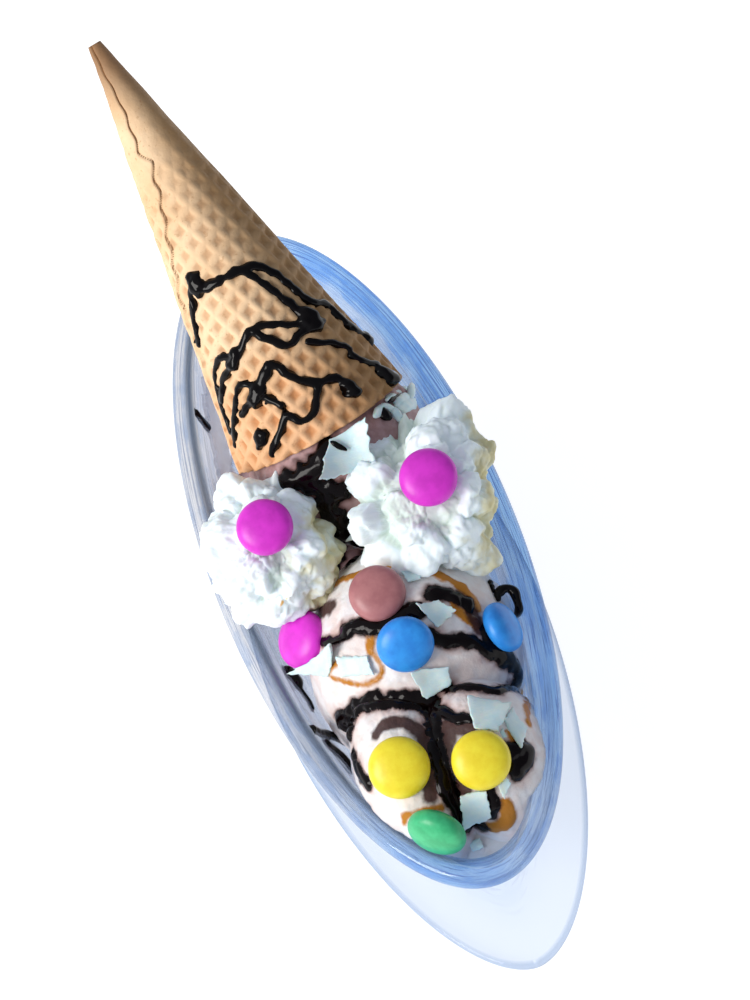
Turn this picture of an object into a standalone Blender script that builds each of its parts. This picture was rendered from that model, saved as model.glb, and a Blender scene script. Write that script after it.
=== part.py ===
"""Ice cream sundae in an oval footed glass dish, with a waffle cone as a hat.

Metres, +Z up. The origin is the centre of the foot's flat underside, the dish's long axis is Y and
its near end is -Y. Sizes below are in millimetres, and MM turns them into metres.
"""
import math

import bmesh
import bpy
from mathutils import Matrix, Vector, noise

MM = 0.001
GAP = 0.3

# The glass dish
RIM_HALF_LENGTH = 104.0
RIM_HALF_WIDTH = 39.2
RIM_HEIGHT = 57.0
FLOOR_HEIGHT = 26.0
WALL_HEIGHTS = (28.0, 31.5, 36.5, 43.0, 49.5, 54.5)
FOOT_HALF_LENGTH = 103.5
FOOT_HALF_WIDTH = 38.5
FOOT_POWER = 1.8
MOULD_SEAM = 0.5
ON_SEAM = 0.001
WALL_AT_RIM = 7.0
WALL_SLOPE = 6.0
WALL_CURVE = 15.0
OVAL_STEPS = 36
SEAM_HALF_ANGLE = 1.0
OPEN_TOP = 125.0
BESIDE_DISH = 30.0

# Inset from the foot's outline, height, and share of the mould seam's ridge
FOOT_PROFILE = ((0.8, 0.0, 0.0), (0.0, 1.0, 0.0), (0.0, 2.2, 1.0), (1.6, 3.2, 1.0), (14.0, 5.0, 1.0))
# Half length, half width, height, power of the oval, and share of the ridge
WAIST_PROFILE = ((68.0, 18.0, 8.0, 1.9, 1.0), (58.0, 14.5, 12.5, 1.95, 1.0), (62.0, 15.5, 17.0, 2.0, 0.0))
# Inset from the rim's outline and height
OUTER_WALL = ((20.5, 21.5), (14.0, 27.5), (9.3, 35.0), (5.8, 43.0), (3.4, 49.5), (2.6, 51.2), (0.5, 52.0))
ROLLED_RIM = ((0.0, 54.0), (0.7, 56.1), (2.2, RIM_HEIGHT), (4.6, RIM_HEIGHT), (6.2, 56.2))

# The waffle cone, which leans back with its mouth down
MOUTH_CENTRE = Vector((2.7, 24.5, 74.0))
CONE_AXIS = Vector((-0.133, 0.720, 0.681)).normalized()
CONE_LENGTH = 118.9
CONE_HALF_ANGLE = math.radians(11.2)
CONE_TIP = 111.0
CONE_WALL = 2.0
CONE_COLUMNS = 32
PLAIN_HEIGHTS = (68.0, 82.0, 96.0, 105.0)
BLUNT_HEIGHT = 109.0
BLUNT_INSET = 0.2
INNER_HEIGHTS = (30.0, 60.0, 92.0)
INNER_CROWN = 99.0
WAFFLE_PITCH = 4.6
WAFFLE_ROWS = 13
WAFFLE_DEPTH = 0.9
LAP_STEP = 0.8
LAP_ANGLE = -62.0
LAP_FULL_RADIUS = 10.0
DRIZZLE_RADIUS = 1.2
DRIZZLE_SUNK = 0.1
DRIZZLE_STEP = 7.5
DRIZZLE_TURN_RADIUS = 20.0
POOL_RISE = 1.5
ROPE_CORNERS = 1
CREAM_ROOM_LENGTH = 60.0

# The ice cream
SCOOP_BOTTOM = 33.0
SCOOP_EDGE = 0.02
SCOOP_COLUMNS = 26
SCOOP_ROWS = 12
CREAM_COLUMNS = 24
CREAM_ROWS = 13
SAUCE_STEP = 7.0
SAUCE_SUNK = 0.42

# Mounds of melted ice cream: centre and half sizes
MELT = {
    "melt_wide": ((0.0, -42.0, 18.0), (45.0, 62.0, 18.0)),
    "melt_near": ((3.0, -80.0, 30.0), (25.0, 24.0, 20.5)),
}
MELT_COLUMNS = 20
MELT_ROWS = 10

# The candies and the flakes
CANDY_FLATNESS = 0.49
CANDY_POWER = 2.35
CANDY_STEPS = 14
CANDY_ROWS = 6
FLAKE_THICKNESS = 1.2
FLAKE_TAPER = 0.22
FLAKE_LEAN = 0.12
FLAKE_SKEW = 0.10
FLAKE_SAG = 0.4

SMOOTH_ANGLE = math.radians(40.0)
WELD_DISTANCE = 0.00001
CUT_DISTANCE = 0.000001

# Centre, three half sizes, depth of the lumps and their size
SCOOPS = {
    "chocolate_ball": ((4.0, 17.3, 67.2), (23.2, 23.2, 23.2), 0.5, 13.0),
    "chocolate_base": ((-1.0, 27.0, 38.0), (28.5, 27.0, 17.0), 0.7, 11.0),
    "vanilla_centre": ((2.0, -34.0, 45.0), (27.5, 30.0, 32.0), 0.7, 14.0),
    "vanilla_left": ((-9.5, -66.0, 45.0), (15.5, 26.0, 25.0), 0.6, 12.0),
    "vanilla_right": ((8.5, -70.0, 46.0), (16.5, 22.0, 25.0), 0.6, 12.0),
    "cream_left": ((-21.8, -4.5, 73.0), (16.0, 18.0, 15.5), 4.2, 6.0),
    "cream_right": ((17.5, -7.5, 73.5), (20.0, 21.0, 17.5), 4.2, 6.5),
}

# Sauce on the scoops: half width of the band, then its route as x and y
SAUCE = {
    "vanilla_centre": (
        (2.6, ((-17.5, -30.0), (-12.0, -34.5), (-4.0, -36.5), (4.5, -38.0))),
        (2.2, ((11.0, -36.5), (15.0, -35.5), (19.0, -39.0))),
        (2.4, ((8.0, -47.0), (13.0, -48.5), (19.0, -49.0), (22.5, -50.0))),
        (2.6, ((-19.0, -46.5), (-14.0, -49.0), (-7.5, -53.0), (-1.0, -55.5))),
        (1.6, ((-9.0, -17.0), (0.0, -19.5), (8.6, -25.5), (17.0, -31.0), (20.5, -35.5))),
    ),
    "vanilla_left": (
        (2.4, ((0.5, -63.0), (-0.8, -69.0), (-3.0, -76.0), (-4.5, -81.0))),
        (1.6, ((-22.0, -66.0), (-21.0, -71.0), (-18.5, -76.0))),
        (1.2, ((-14.5, -82.0), (-10.2, -83.0))),
    ),
    "vanilla_right": (
        (2.0, ((9.5, -57.0), (14.0, -60.0), (18.0, -62.0))),
        (2.6, ((14.0, -79.5), (16.0, -82.5))),
        (1.3, ((5.0, -88.0), (8.5, -87.5))),
    ),
}

# Drizzle on the cone: millimetres up from the mouth, degrees round from the front
DRIZZLE = (
    (
        (50, -38), (46, -31), (46, -15), (45.5, 8), (43.5, 30), (37.5, 41), (30, 49), (26, 65), (19.5, 70),
        (13, 82),
    ),
    ((50, -38), (44.5, -53), (34, -70)),
    ((44.5, 14), (36.5, 27), (26.5, 35), (24.5, 20), (24, 10), (28, -1), (31, -7)),
    ((26.5, 28), (30.5, 6), (31.7, -10), (28.5, -23), (26, -38), (24, -53), (19, -66)),
    ((28, -32), (29, -47), (25, -63), (17.5, -71), (11, -72)),
    ((21.3, -11), (17.2, -27), (14.2, -48)),
    ((17.2, -27), (20.5, -16), (21.7, -7), (17.5, 0), (13, 10), (11, 26), (7, 31)),
    ((19.8, -28), (20.7, -39), (17.3, -50), (7.5, -73)),
    ((17.2, -27), (12.2, -15)),
    ((12.5, 14), (7, 3), (6.2, -8), (9.3, -15), (7, -24), (2.5, -37)),
    ((22, 25), (17.7, 43), (14.4, 51)),
    ((13.3, 49), (9.6, 55), (7.3, 64)),
)
DRIZZLE_POOLS = (
    ((47.5, -38), (3.0, 2.6)),
    ((25.5, 38), (4.4, 3.0)),
    ((13.0, 82), (2.4, 2.0)),
    ((27.0, -33), (3.2, 2.2)),
    ((17.0, -28), (3.6, 2.6)),
    ((7.0, 30), (3.2, 2.4)),
    ((7.0, -40), (2.8, 2.2)),
    ((3.5, 64), (3.4, 2.6)),
)

# Centre, the way the flat side faces, radius, and colour
CANDIES = {
    "candy_magenta_left_eye": ((-19.6, -8.3, 90.0), (0.02, -0.40, 0.92), 7.0, "magenta"),
    "candy_magenta_right_eye": ((21.9, -14.0, 90.6), (0.05, -0.40, 0.92), 7.2, "magenta"),
    "candy_mauve_nose": ((-0.6, -31.4, 78.6), (0.00, -0.30, 0.95), 7.0, "mauve"),
    "candy_blue_centre": ((0.9, -46.6, 76.6), (-0.10, -0.76, 0.64), 7.0, "blue"),
    "candy_magenta_side": ((-22.4, -25.6, 63.0), (-0.61, -0.04, 0.79), 7.4, "magenta"),
    "candy_blue_side": ((24.4, -45.8, 64.6), (0.90, -0.12, 0.42), 6.5, "blue"),
    "candy_yellow_left": ((-11.9, -73.9, 70.6), (-0.05, -0.47, 0.88), 7.5, "yellow"),
    "candy_yellow_right": ((6.8, -80.6, 70.4), (0.00, -0.50, 0.87), 7.2, "yellow"),
    "candy_green": ((-9.6, -89.8, 63.0), (-0.62, -0.76, 0.15), 7.3, "green"),
}

# Centre, face direction, length, width, turn in degrees, and bend
FLAKES = {
    "flake_by_cone": ((4.8, 0.5, 88.4), (0.05, -0.45, 0.90), 14.0, 11.0, 20.0, 1.6),
    "flake_top_right": ((9.8, -41.2, 75.3), (0.35, -0.25, 0.90), 9.5, 7.5, 35.0, 0.5),
    "flake_left_back": ((-18.7, -36.1, 66.5), (-0.80, -0.10, 0.60), 9.5, 7.0, 65.0, 0.5),
    "flake_left_front": ((-11.4, -44.0, 70.9), (-0.52, -0.38, 0.77), 9.0, 6.5, 10.0, 0.4),
    "flake_middle": ((2.4, -55.2, 69.0), (0.10, -0.72, 0.69), 9.5, 7.0, 15.0, 0.4),
    "flake_right": ((12.6, -69.0, 71.4), (0.32, 0.05, 0.95), 11.0, 8.0, -20.0, 0.5),
    "flake_right_edge": ((17.9, -74.0, 66.1), (0.74, -0.10, 0.67), 9.5, 4.2, 26.0, 0.4),
    "flake_near": ((0.3, -86.8, 61.6), (-0.10, -0.88, 0.47), 8.5, 8.0, 5.0, 0.5),
}

COLOURS = {
    "glass": (0.75, 0.86, 0.95),
    "wafer": (0.72, 0.46, 0.22),
    "chocolate": (0.30, 0.16, 0.12),
    "vanilla": (0.86, 0.80, 0.74),
    "cream": (0.92, 0.93, 0.88),
    "white_chocolate": (0.82, 0.86, 0.84),
    "magenta": (0.75, 0.03, 0.55),
    "mauve": (0.42, 0.18, 0.17),
    "blue": (0.03, 0.26, 0.75),
    "yellow": (0.85, 0.70, 0.04),
    "green": (0.04, 0.45, 0.18),
}


def clear_scene():
    for scene_object in list(bpy.data.objects):
        bpy.data.objects.remove(scene_object, do_unlink=True)


def make_collection(name):
    collection = bpy.data.collections.new(name)
    bpy.context.scene.collection.children.link(collection)
    return collection


def make_material(name, colour, roughness):
    material = bpy.data.materials.new(name)
    material.use_nodes = True
    shader = material.node_tree.nodes["Principled BSDF"]
    shader.inputs["Base Color"].default_value = (*colour, 1.0)
    shader.inputs["Roughness"].default_value = roughness
    shader.inputs["Metallic"].default_value = 0.0
    return material


clear_scene()
PARTS = make_collection("ice_cream_sundae")
CUTTERS = make_collection("cutters")


def finish_bmesh(shape, name):
    """Turns a bmesh in millimetres into a helper object in metres, with its faces pointing out."""
    bmesh.ops.scale(shape, vec=(MM, MM, MM), verts=shape.verts)
    bmesh.ops.recalc_face_normals(shape, faces=shape.faces)
    mesh = bpy.data.meshes.new(name)
    shape.to_mesh(mesh)
    shape.free()
    made = bpy.data.objects.new(name, mesh)
    CUTTERS.objects.link(made)
    made.hide_render = True
    made.display_type = "WIRE"
    return made


def evaluated_mesh(source):
    """The mesh of an object with its modifiers applied."""
    graph = bpy.context.evaluated_depsgraph_get()
    return bpy.data.meshes.new_from_object(source.evaluated_get(graph))


def combine(target, operation, tools, solver="EXACT"):
    """Applies one Boolean for each tool and removes the tools."""
    for tool in tools:
        cut = target.modifiers.new(operation.lower(), "BOOLEAN")
        cut.operation = operation
        cut.solver = solver
        cut.object = tool
    mesh = evaluated_mesh(target)
    target.modifiers.clear()
    target.data = mesh
    for tool in tools:
        bpy.data.objects.remove(tool, do_unlink=True)
    return target


def unite(name, pieces):
    """Joins overlapping solids into one by a Boolean union on their collection."""
    base = pieces[0]
    base.name = name
    if len(pieces) == 1:
        return base
    group = bpy.data.collections.new(name + "_toppings")
    bpy.context.scene.collection.children.link(group)
    for piece in pieces[1:]:
        group.objects.link(piece)
    join = base.modifiers.new("union", "BOOLEAN")
    join.operation = "UNION"
    join.operand_type = "COLLECTION"
    join.collection = group
    join.solver = "MANIFOLD"
    mesh = evaluated_mesh(base)
    base.modifiers.clear()
    base.data = mesh
    for piece in pieces[1:]:
        bpy.data.objects.remove(piece, do_unlink=True)
    bpy.data.collections.remove(group)
    return base


def into_parts(made, name, material):
    """Moves a finished solid to the object's collection, with its name, material and shading."""
    CUTTERS.objects.unlink(made)
    PARTS.objects.link(made)
    made.name = name
    made.data.name = name
    made.hide_render = False
    made.display_type = "TEXTURED"
    made.data.materials.clear()
    made.data.materials.append(material)
    made.data.shade_smooth()
    made.data.set_sharp_from_angle(angle=SMOOTH_ANGLE)
    return made


def oval_angles():
    """Even steps round an oval, with two narrow ones beside each end for the mould seam."""
    angles = [360.0 * step / OVAL_STEPS for step in range(OVAL_STEPS)]
    for end in (90.0, 270.0):
        angles += [end - SEAM_HALF_ANGLE, end + SEAM_HALF_ANGLE]
    return sorted(angles)


def oval_ring(half_length, half_width, height, power=2.0, seam=0.0):
    """Points round an oval whose sides follow |x/w|^power + |y/l|^power = 1."""
    ring = []
    for angle in oval_angles():
        across = math.cos(math.radians(angle))
        along = math.sin(math.radians(angle))
        ridge = seam if abs(across) < ON_SEAM else 0.0
        x = half_width * math.copysign(abs(across) ** (2.0 / power), across)
        y = (half_length + ridge) * math.copysign(abs(along) ** (2.0 / power), along)
        ring.append((x, y, height + ridge))
    return ring


def inset_ring(inset, height):
    """A ring that runs inside the rim's outer line by the inset."""
    return oval_ring(RIM_HALF_LENGTH - inset, RIM_HALF_WIDTH - inset, height)


def loft(name, rings):
    """Joins rings of equal point count into a closed solid with flat ends."""
    shape = bmesh.new()
    rows = [[shape.verts.new(point) for point in ring] for ring in rings]
    count = len(rows[0])
    for lower, upper in zip(rows, rows[1:]):
        for step in range(count):
            following = (step + 1) % count
            shape.faces.new((lower[step], lower[following], upper[following], upper[step]))
    shape.faces.new(list(reversed(rows[0])))
    shape.faces.new(rows[-1])
    return finish_bmesh(shape, name)


def bowl_inset(height):
    """How far the bowl's inner wall lies inside the rim's outer line: steep above, flat below."""
    depth = (RIM_HEIGHT - height) / (RIM_HEIGHT - FLOOR_HEIGHT)
    return WALL_AT_RIM + WALL_SLOPE * depth + WALL_CURVE * depth ** 4


def make_dish():
    """A flared oval foot with a moulded seam, a waist, a shallow bowl and a rolled rim band."""
    rings = []
    for inset, height, seam in FOOT_PROFILE:
        half_length = FOOT_HALF_LENGTH - inset
        half_width = FOOT_HALF_WIDTH - inset
        rings.append(oval_ring(half_length, half_width, height, FOOT_POWER, seam * MOULD_SEAM))
    for half_length, half_width, height, power, seam in WAIST_PROFILE:
        rings.append(oval_ring(half_length, half_width, height, power, seam * MOULD_SEAM))
    rings += [inset_ring(inset, height) for inset, height in OUTER_WALL + ROLLED_RIM]
    rings += [inset_ring(bowl_inset(height), height) for height in reversed(WALL_HEIGHTS)]
    rings.append(inset_ring(bowl_inset(FLOOR_HEIGHT), FLOOR_HEIGHT))
    return loft("glass_dish", rings)


def food_space():
    """The room inside the bowl and above the dish, kept clear of the glass."""
    rings = [inset_ring(bowl_inset(FLOOR_HEIGHT) + GAP, FLOOR_HEIGHT + GAP)]
    rings += [inset_ring(bowl_inset(height) + GAP, height + GAP) for height in WALL_HEIGHTS]
    top = RIM_HEIGHT + GAP
    rings.append(inset_ring(bowl_inset(RIM_HEIGHT) + GAP, top))
    rings.append(inset_ring(-BESIDE_DISH, top))
    rings.append(inset_ring(-BESIDE_DISH, OPEN_TOP))
    return loft("food_space", rings)


def cone_radius(along):
    return (CONE_LENGTH - along) * math.tan(CONE_HALF_ANGLE)


def cone_lap(degrees):
    """The rolled sheet's extra radius: largest just past its edge, then falling away round the cone."""
    turn = ((degrees - LAP_ANGLE) % 360.0) / 360.0
    return LAP_STEP * turn


def cone_point(along, degrees, lift=0.0):
    radius = cone_radius(along) + cone_lap(degrees) * min(1.0, cone_radius(along) / LAP_FULL_RADIUS) + lift
    angle = math.radians(degrees)
    return Vector((radius * math.cos(angle), radius * math.sin(angle), along))


def cone_placement():
    """Turns the cone's own axis onto its leaning axis, with its front toward -Y and up."""
    front = Vector((0.0, -CONE_AXIS.z, CONE_AXIS.y))
    front = (front - front.dot(CONE_AXIS) * CONE_AXIS).normalized()
    side = CONE_AXIS.cross(front)
    turn = Matrix((front, side, CONE_AXIS)).transposed().to_4x4()
    return Matrix.Translation(MOUTH_CENTRE * MM) @ turn


def add_ring(shape, along, lift, columns):
    return [shape.verts.new(cone_point(along, 360.0 * step / columns, lift)) for step in range(columns)]


def bridge(shape, lower, upper):
    """Faces between two rings, where the upper one has as many points or half as many."""
    ratio = len(lower) // len(upper)
    count = len(lower)
    for step in range(0, count, ratio):
        one = upper[step // ratio]
        two = upper[(step // ratio + 1) % len(upper)]
        start = lower[step]
        end = lower[(step + ratio) % count]
        if ratio == 1:
            shape.faces.new((start, end, two, one))
            continue
        middle = lower[step + 1]
        shape.faces.new((start, middle, one))
        shape.faces.new((middle, two, one))
        shape.faces.new((middle, end, two))


def make_cone_shell():
    """A thin rolled wafer: pyramid pits over the lower part, a plain upper part and a solid tip."""
    shape = bmesh.new()
    rows = []
    for row in range(WAFFLE_ROWS + 1):
        ring = []
        for column in range(CONE_COLUMNS):
            edge = row in (0, WAFFLE_ROWS)
            sunk = 0.0 if edge or (row + column) % 2 == 0 else -WAFFLE_DEPTH
            ring.append(shape.verts.new(cone_point(row * WAFFLE_PITCH, 360.0 * column / CONE_COLUMNS, sunk)))
        rows.append(ring)
    for row, (lower, upper) in enumerate(zip(rows, rows[1:])):
        for column in range(CONE_COLUMNS):
            following = (column + 1) % CONE_COLUMNS
            corners = (lower[column], lower[following], upper[following], upper[column])
            if (row + column) % 2 == 1:
                corners = corners[1:] + corners[:1]
            shape.faces.new(corners[:3])
            shape.faces.new((corners[0], corners[2], corners[3]))
    half = CONE_COLUMNS // 2
    below = rows[-1]
    for along in PLAIN_HEIGHTS + (BLUNT_HEIGHT,):
        lift = -BLUNT_INSET if along == BLUNT_HEIGHT else 0.0
        above = add_ring(shape, along, lift, half)
        bridge(shape, below, above)
        below = above
    tip = shape.verts.new((0.0, 0.0, CONE_TIP))
    for step in range(half):
        shape.faces.new((below[step], below[(step + 1) % half], tip))
    inner = add_ring(shape, 0.0, -CONE_WALL, half)
    bridge(shape, rows[0], inner)
    for along in INNER_HEIGHTS:
        above = add_ring(shape, along, -CONE_WALL, half)
        bridge(shape, inner, above)
        inner = above
    crown = shape.verts.new((0.0, 0.0, INNER_CROWN))
    for step in range(half):
        shape.faces.new((inner[step], inner[(step + 1) % half], crown))
    return finish_bmesh(shape, "cone_shell")


def resample(route, step):
    """Points along straight runs between the route's own points, at most one step apart."""
    points = [Vector(route[0])]
    for start, end in zip(route, route[1:]):
        start = Vector(start)
        end = Vector(end)
        parts = max(1, math.ceil((end - start).length / step))
        points += [start.lerp(end, part / parts) for part in range(1, parts + 1)]
    return points


def make_rope(name, points, radius):
    """A round rope along the points, as a closed mesh."""
    curve = bpy.data.curves.new(name, "CURVE")
    curve.dimensions = "3D"
    curve.bevel_depth = radius * MM
    curve.bevel_resolution = ROPE_CORNERS
    curve.use_fill_caps = True
    spline = curve.splines.new("POLY")
    spline.points.add(len(points) - 1)
    for place, point in zip(spline.points, points):
        place.co = (*(point * MM), 1.0)
    rope = bpy.data.objects.new(name, curve)
    CUTTERS.objects.link(rope)
    bpy.context.view_layer.update()
    shape = bmesh.new()
    shape.from_mesh(evaluated_mesh(rope))
    bmesh.ops.remove_doubles(shape, verts=shape.verts, dist=WELD_DISTANCE)
    bmesh.ops.scale(shape, vec=(1.0 / MM, 1.0 / MM, 1.0 / MM), verts=shape.verts)
    bpy.data.objects.remove(rope, do_unlink=True)
    return finish_bmesh(shape, name)


def make_bead(name, centre, sizes, columns=8, rows=5):
    """A round drop with three half sizes."""
    shape = bmesh.new()
    bmesh.ops.create_uvsphere(shape, u_segments=columns, v_segments=rows, radius=1.0)
    bmesh.ops.scale(shape, vec=sizes, verts=shape.verts)
    bmesh.ops.translate(shape, vec=centre, verts=shape.verts)
    return finish_bmesh(shape, name)


def on_cone(route):
    """A drizzle route from millimetres up and degrees round to points on the wafer."""
    flat = [Vector((along, math.radians(degrees) * DRIZZLE_TURN_RADIUS)) for along, degrees in route]
    points = []
    for place in resample(flat, DRIZZLE_STEP):
        points.append(cone_point(place.x, math.degrees(place.y / DRIZZLE_TURN_RADIUS), -DRIZZLE_SUNK))
    return points


def make_cone():
    pieces = [make_cone_shell()]
    for number, route in enumerate(DRIZZLE):
        pieces.append(make_rope(f"drizzle_{number}", on_cone(route), DRIZZLE_RADIUS))
    for number, (place, (length, width)) in enumerate(DRIZZLE_POOLS):
        bead = make_bead(f"pool_{number}", (0.0, 0.0, 0.0), (POOL_RISE, width, length))
        turn = Matrix.Rotation(math.radians(place[1]), 4, "Z")
        bead.data.transform(Matrix.Translation(cone_point(*place) * MM) @ turn)
        pieces.append(bead)
    cone = unite("cone_with_drizzle", pieces)
    cone.matrix_world = cone_placement()
    return cone


def scoop_point(scoop, direction, grow=0.0):
    """The surface of a lumpy ball in a unit direction, moved out by the growth."""
    centre, sizes, depth, grain = SCOOPS[scoop]
    plain = Vector(size * part for size, part in zip(sizes, direction))
    lumps = noise.noise((plain + Vector(centre)) / grain) * depth
    outward = Vector(part / size for size, part in zip(sizes, direction)).normalized()
    return Vector(centre) + plain + outward * (lumps + grow)


def make_ball(scoop, grow=0.0, columns=SCOOP_COLUMNS, rows=SCOOP_ROWS):
    shape = bmesh.new()
    bmesh.ops.create_uvsphere(shape, u_segments=columns, v_segments=rows, radius=1.0)
    for corner in shape.verts:
        corner.co = scoop_point(scoop, corner.co.normalized(), grow)
    return finish_bmesh(shape, scoop)


def on_scoop(scoop, x, y, lift):
    """The point above x and y on a scoop's top, raised by the lift."""
    centre, sizes = SCOOPS[scoop][:2]
    across = (x - centre[0]) / sizes[0]
    along = (y - centre[1]) / sizes[1]
    up = math.sqrt(max(SCOOP_EDGE, 1.0 - across ** 2 - along ** 2))
    direction = Vector((across, along, up)).normalized()
    return scoop_point(scoop, direction, lift)


def cut_below(made, height):
    """Cuts a solid off flat at a height and closes it."""
    shape = bmesh.new()
    shape.from_mesh(made.data)
    everything = shape.verts[:] + shape.edges[:] + shape.faces[:]
    cut = bmesh.ops.bisect_plane(
        shape, geom=everything, dist=CUT_DISTANCE, plane_co=(0.0, 0.0, height * MM), plane_no=(0.0, 0.0, 1.0),
        clear_inner=True,
    )
    rim = [piece for piece in cut["geom_cut"] if isinstance(piece, bmesh.types.BMEdge)]
    bmesh.ops.edgeloop_fill(shape, edges=rim)
    bmesh.ops.recalc_face_normals(shape, faces=shape.faces)
    shape.to_mesh(made.data)
    shape.free()
    return made


def make_vanilla(scoop, grow=0.0):
    """A scoop with its sauce, cut off flat below. Growth gives the room that its neighbours leave."""
    pieces = [make_ball(scoop, grow)]
    for number, (half_width, route) in enumerate(SAUCE[scoop]):
        lift = -half_width * SAUCE_SUNK
        points = [on_scoop(scoop, place.x, place.y, lift) for place in resample(route, SAUCE_STEP)]
        pieces.append(make_rope(f"{scoop}_sauce_{number}", points, half_width + grow))
    return cut_below(unite(scoop, pieces), SCOOP_BOTTOM - grow)


def make_chocolate(grow=0.0):
    return unite("chocolate_scoop", [make_ball("chocolate_base", grow), make_ball("chocolate_ball", grow)])


def make_melt():
    """Melted ice cream that fills the bowl round the scoops, higher at the near end."""
    pieces = []
    for name, (centre, sizes) in MELT.items():
        pieces.append(make_bead(name, centre, sizes, MELT_COLUMNS, MELT_ROWS))
    return unite("melted_ice_cream", pieces)


def cone_room():
    """A plain cone a little larger than the wafer, which keeps the cream clear of it."""
    shape = bmesh.new()
    spare = DRIZZLE_RADIUS + 2 * LAP_STEP
    wide = cone_radius(0.0) + spare
    narrow = cone_radius(CREAM_ROOM_LENGTH) + spare
    bmesh.ops.create_cone(
        shape, cap_ends=True, segments=CONE_COLUMNS, radius1=wide, radius2=narrow, depth=CREAM_ROOM_LENGTH,
    )
    bmesh.ops.translate(shape, vec=(0.0, 0.0, CREAM_ROOM_LENGTH / 2 - 2 * GAP), verts=shape.verts)
    room = finish_bmesh(shape, "cone_room")
    room.matrix_world = cone_placement()
    return room


def facing(normal, turn=0.0):
    """A rotation that takes +Z to the normal, after a turn about Z."""
    facing_way = Vector(normal).to_track_quat("Z", "Y").to_matrix().to_4x4()
    return facing_way @ Matrix.Rotation(math.radians(turn), 4, "Z")


def make_candy(name, centre, normal, size, grow=0.0):
    """A sugar-coated lentil: a rounded lens profile turned about its short axis."""
    shape = bmesh.new()
    previous = None
    for row in range(CANDY_ROWS + 1):
        angle = math.radians(-90.0 + 180.0 * row / CANDY_ROWS)
        radius = (size + grow) * abs(math.cos(angle)) ** (2.0 / CANDY_POWER)
        rise = math.sin(angle)
        height = (size * CANDY_FLATNESS + grow) * math.copysign(abs(rise) ** (2.0 / CANDY_POWER), rise)
        if row in (0, CANDY_ROWS):
            current = shape.verts.new((0.0, 0.0, height))
            if row == CANDY_ROWS:
                for step in range(CANDY_STEPS):
                    shape.faces.new((previous[step], previous[(step + 1) % CANDY_STEPS], current))
            previous = current
            continue
        ring = []
        for step in range(CANDY_STEPS):
            turn = math.tau * step / CANDY_STEPS
            ring.append(shape.verts.new((radius * math.cos(turn), radius * math.sin(turn), height)))
        for step in range(CANDY_STEPS):
            following = (step + 1) % CANDY_STEPS
            if row == 1:
                shape.faces.new((ring[step], previous, ring[following]))
            else:
                shape.faces.new((previous[step], previous[following], ring[following], ring[step]))
        previous = ring
    candy = finish_bmesh(shape, name)
    candy.matrix_world = Matrix.Translation(Vector(centre) * MM) @ facing(normal)
    return candy


def make_flake(name, centre, normal, length, width, turn, bend, grow=0.0):
    """A thin curved shaving with one cut corner: a bent grid with even thickness."""
    shape = bmesh.new()
    bmesh.ops.create_grid(shape, x_segments=4, y_segments=3, size=0.5)
    for corner in shape.verts:
        across = corner.co.x
        along = corner.co.y
        slant = 1.0 - FLAKE_TAPER * (along + 0.5)
        x = across * (length * slant + 2 * grow) + along * FLAKE_LEAN * length
        y = along * (width + 2 * grow) + across * FLAKE_SKEW * width
        corner.co = (x, y, bend * ((2.0 * across) ** 2 - FLAKE_SAG))
    flake = finish_bmesh(shape, name)
    shell = flake.modifiers.new("thickness", "SOLIDIFY")
    shell.thickness = (FLAKE_THICKNESS + 2 * grow) * MM
    shell.offset = 0.0
    flake.data = evaluated_mesh(flake)
    flake.modifiers.clear()
    flake.matrix_world = Matrix.Translation(Vector(centre) * MM) @ facing(normal, turn)
    return flake


def cut_sockets(made):
    """Cuts the sockets of the candies and flakes that are pressed into a piece."""
    rooms = []
    for name, (centre, normal, size, _) in CANDIES.items():
        rooms.append(make_candy(name + "_room", centre, normal, size, GAP))
    for name, placing in FLAKES.items():
        rooms.append(make_flake(name + "_room", *placing, GAP))
    return combine(made, "DIFFERENCE", rooms, "MANIFOLD")


def keep_largest(made):
    """Drops the loose crumbs that a cut leaves beside the main solid."""
    shape = bmesh.new()
    shape.from_mesh(made.data)
    waiting = set(shape.verts)
    groups = []
    while waiting:
        stack = [waiting.pop()]
        group = list(stack)
        while stack:
            corner = stack.pop()
            for edge in corner.link_edges:
                other = edge.other_vert(corner)
                if other in waiting:
                    waiting.remove(other)
                    group.append(other)
                    stack.append(other)
        groups.append(group)
    groups.sort(key=len)
    crumbs = [corner for group in groups[:-1] for corner in group]
    bmesh.ops.delete(shape, geom=crumbs, context="VERTS")
    shape.to_mesh(made.data)
    shape.free()
    return made


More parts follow.
